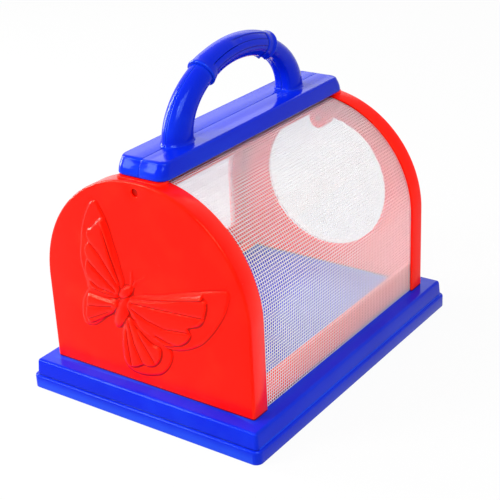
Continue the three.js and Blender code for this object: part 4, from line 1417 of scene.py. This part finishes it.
def light_world(strength):
    world = bpy.data.worlds.new("studio")
    bpy.context.scene.world = world
    world.use_nodes = True
    tree = world.node_tree
    tree.nodes.remove(tree.nodes["Background"])
    lit, plain = (
        add_node(tree, "ShaderNodeBackground", {"Color": WHITE, "Strength": power})
        for power in (strength, 1.0)
    )
    show_plain(tree, "World Output", lit, plain, 1.0)


def set_camera(look):
    """The photograph's view, from its azimuth, height, roll, distance and focal length."""
    data = bpy.data.cameras.new("camera")
    camera = bpy.context.scene.camera = put_in_scene("camera", data)
    azimuth, roll = math.radians(look.azimuth), math.radians(look.roll)
    back = towards(look.azimuth, look.elevation)
    right = Vector((math.cos(azimuth), math.sin(azimuth), 0))
    up = back.cross(right)
    side = right * math.cos(roll) + up * math.sin(roll)
    top = up * math.cos(roll) - right * math.sin(roll)
    place = Vector(CAMERA_TARGET) + back * look.distance
    turned = Matrix((side, top, back)).transposed().to_4x4()
    camera.matrix_world = Matrix.Translation(place) @ turned
    data.sensor_width = 36
    data.lens = look.lens
    data.shift_x, data.shift_y = CAMERA_SHIFT
    data.clip_start, data.clip_end = 0.01, 50


class BREEDINGBOX_OT_stage(Operator):
    """Set the pale floor, the soft lamps and the camera"""

    bl_idname = "breeding_box.stage"
    bl_label = "Stage"

    def execute(self, context):
        look = context.scene.breeding_box_stage
        rim = [(x, y, 0) for x, y in circle_ring(FLOOR_RADIUS)]
        floor = put_in_scene("floor", plain_mesh("floor", (rim, [tuple(range(len(rim)))])))
        floor.data.materials.append(white_floor(look.floor_white))
        lamps = [
            ("key", look.key_azimuth, look.key_elevation, 1.2, (0.4, 0.6), look.key_power),
            ("side", look.side_azimuth, look.side_elevation, 1.15, (0.28, 0.7), look.side_power),
            ("fill", 50, 44, 1.3, (0.6, 0.6), look.fill_power),
            ("edge", 32, 48, 1.3, (0.18, 0.18), look.edge_power),
            ("back", 216, 30, 1.2, (1.0, 0.45), look.back_power),
        ]
        for name, *settings in lamps:
            soft_lamp(f"{name}_lamp", *settings)
        light_world(look.world_strength)
        set_camera(look)
        context.scene.view_settings.view_transform = "Standard"
        return {"FINISHED"}


# Settings


def length(name, description, default, low=0.0, high=0.5):
    return FloatProperty(
        name=name, description=description, default=default, min=low, max=high,
        subtype="DISTANCE", unit="LENGTH", precision=5,
    )


def colour(name, description, default):
    return FloatVectorProperty(
        name=name, description=description, default=default, size=3, min=0, max=1, subtype="COLOR"
    )


def number(name, description, default, low=0.0, high=360.0):
    return FloatProperty(name=name, description=description, default=default, min=low, max=high)


def degrees(name, description, default):
    return number(name, f"{description}, in degrees", default, -360)


class BreedingBoxTray(PropertyGroup):
    edge_radius: length("Top edge", "Radius of the tray's upper edge", 0.0019)
    ledge_radius: length("Ledge edge", "Radius of the lower tier's upper edge", 0.0012)


class BreedingBoxPlates(PropertyGroup):
    edge_radius: length("Face edge", "Radius between a plate's face and its flange", 0.0016)
    margin_height: length("Wing margin", "Height of the relief's wing margins", 0.001)
    panel_height: length("Wing panel", "Height of the relief's wing panels", 0.002)
    ridge_height: length("Wing ridge", "Greatest height of the relief's leading ridges", 0.0036)
    relief_pitch: length("Relief pitch", "Spacing of the relief's mesh", 0.00046)


class BreedingBoxNet(PropertyGroup):
    thread_diameter: length("Thread", "Diameter of a net thread", 0.000465)
    spacing: length("Spacing", "Distance from thread to thread", 0.00195)


class BreedingBoxHandle(PropertyGroup):
    edge_radius: length("Bar edge", "Radius of the bar's upper edge", 0.0018)
    end_bow: length("End bow", "How far the bar's ends bow over into its top", 0.0024)
    seam_gap: length("Seam", "Gap between the handle's two halves", 0.0003)
    seam_edge: length("Seam edge", "Rounding of the halves beside their seam", 0.00025)
    panel_depth: length("Grip panel", "Depth of the steps in the grip's sides", 0.0006)


class BreedingBoxFinish(PropertyGroup):
    red: colour("Red", "Colour of the plates, rails and hoops", (0.96, 0.0035, 0.0006))
    blue: colour("Blue", "Colour of the tray and the handle", (0.0012, 0.012, 0.5))
    net: colour("Net", "Colour of the net", (0.96, 0.96, 0.97))
    clear: colour("Clear", "Tint of the door and its washer", (0.97, 0.985, 0.99))
    steel: colour("Steel", "Colour of the screws", (0.42, 0.43, 0.45))
    gloss: number("Gloss", "Least roughness of the moulded plastic", 0.1, 0.05, 1)


class BreedingBoxStage(PropertyGroup):
    azimuth: degrees("Azimuth", "Direction of the camera round the box", 36.158)
    elevation: degrees("Elevation", "Height of the camera's direction", 24.454)
    roll: degrees("Roll", "Turn of the camera about its own axis", -2.844)
    distance: length("Distance", "Distance from the camera to its target", 0.774215, 0.1, 5)
    lens: number("Lens", "Focal length in millimetres", 88.309, 10)
    key_azimuth: degrees("Key azimuth", "Direction of the key lamp", -40)
    key_elevation: degrees("Key elevation", "Height of the key lamp", 30)
    key_power: number("Key", "Key lamp's power in watts", 12)
    side_azimuth: degrees("Side azimuth", "Direction of the side lamp", -82)
    side_elevation: degrees("Side elevation", "Height of the side lamp", 20)
    side_power: number("Side", "Side lamp's power in watts", 13)
    fill_power: number("Fill", "Fill lamp's power in watts", 10)
    edge_power: number("Edge", "Edge lamp's power in watts", 1.5)
    back_power: number("Back", "Back lamp's power in watts", 2.0)
    world_strength: number("Surroundings", "Strength of the light from all round", 0.55)
    floor_white: number("Floor white", "How far the floor shows as plain white", 0.94, 0, 1)


class BREEDINGBOX_PT_panel(Panel):
    """Sizes, colours and building steps of the breeding box"""

    bl_idname = "BREEDINGBOX_PT_panel"
    bl_label = "Breeding box"
    bl_space_type = "VIEW_3D"
    bl_region_type = "UI"
    bl_category = "Breeding box"

    def draw(self, context):
        layout = self.layout
        for name, group in SETTINGS.items():
            box = layout.box()
            box.label(text=name.rsplit("_", 1)[1].capitalize())
            for key in group.__annotations__:
                box.prop(getattr(context.scene, name), key)
        for operator in BUILDERS:
            layout.operator(operator.bl_idname)


SETTINGS = {
    "breeding_box_tray": BreedingBoxTray,
    "breeding_box_plates": BreedingBoxPlates,
    "breeding_box_net": BreedingBoxNet,
    "breeding_box_handle": BreedingBoxHandle,
    "breeding_box_finish": BreedingBoxFinish,
    "breeding_box_stage": BreedingBoxStage,
}
BUILDERS = [
    BREEDINGBOX_OT_stage,
    BREEDINGBOX_OT_tray,
    BREEDINGBOX_OT_front_plate,
    BREEDINGBOX_OT_rear_plate,
    BREEDINGBOX_OT_rails,
    BREEDINGBOX_OT_net,
    BREEDINGBOX_OT_handle,
    BREEDINGBOX_OT_grip,
    BREEDINGBOX_OT_screws,
    BREEDINGBOX_OT_door,
]
CLASSES = [*SETTINGS.values(), *BUILDERS, BREEDINGBOX_PT_panel]


def register():
    for cls in CLASSES:
        bpy.utils.register_class(cls)
    for name, group in SETTINGS.items():
        setattr(bpy.types.Scene, name, PointerProperty(type=group))


def unregister():
    for name in SETTINGS:
        delattr(bpy.types.Scene, name)
    for cls in reversed(CLASSES):
        bpy.utils.unregister_class(cls)


def main():
    register()
    for operator in BUILDERS:
        group, action = operator.bl_idname.split(".")
        if getattr(getattr(bpy.ops, group), action)() != {"FINISHED"}:
            raise RuntimeError(f"{operator.bl_label} wasn't built")


if __name__ == "__main__":
    main()
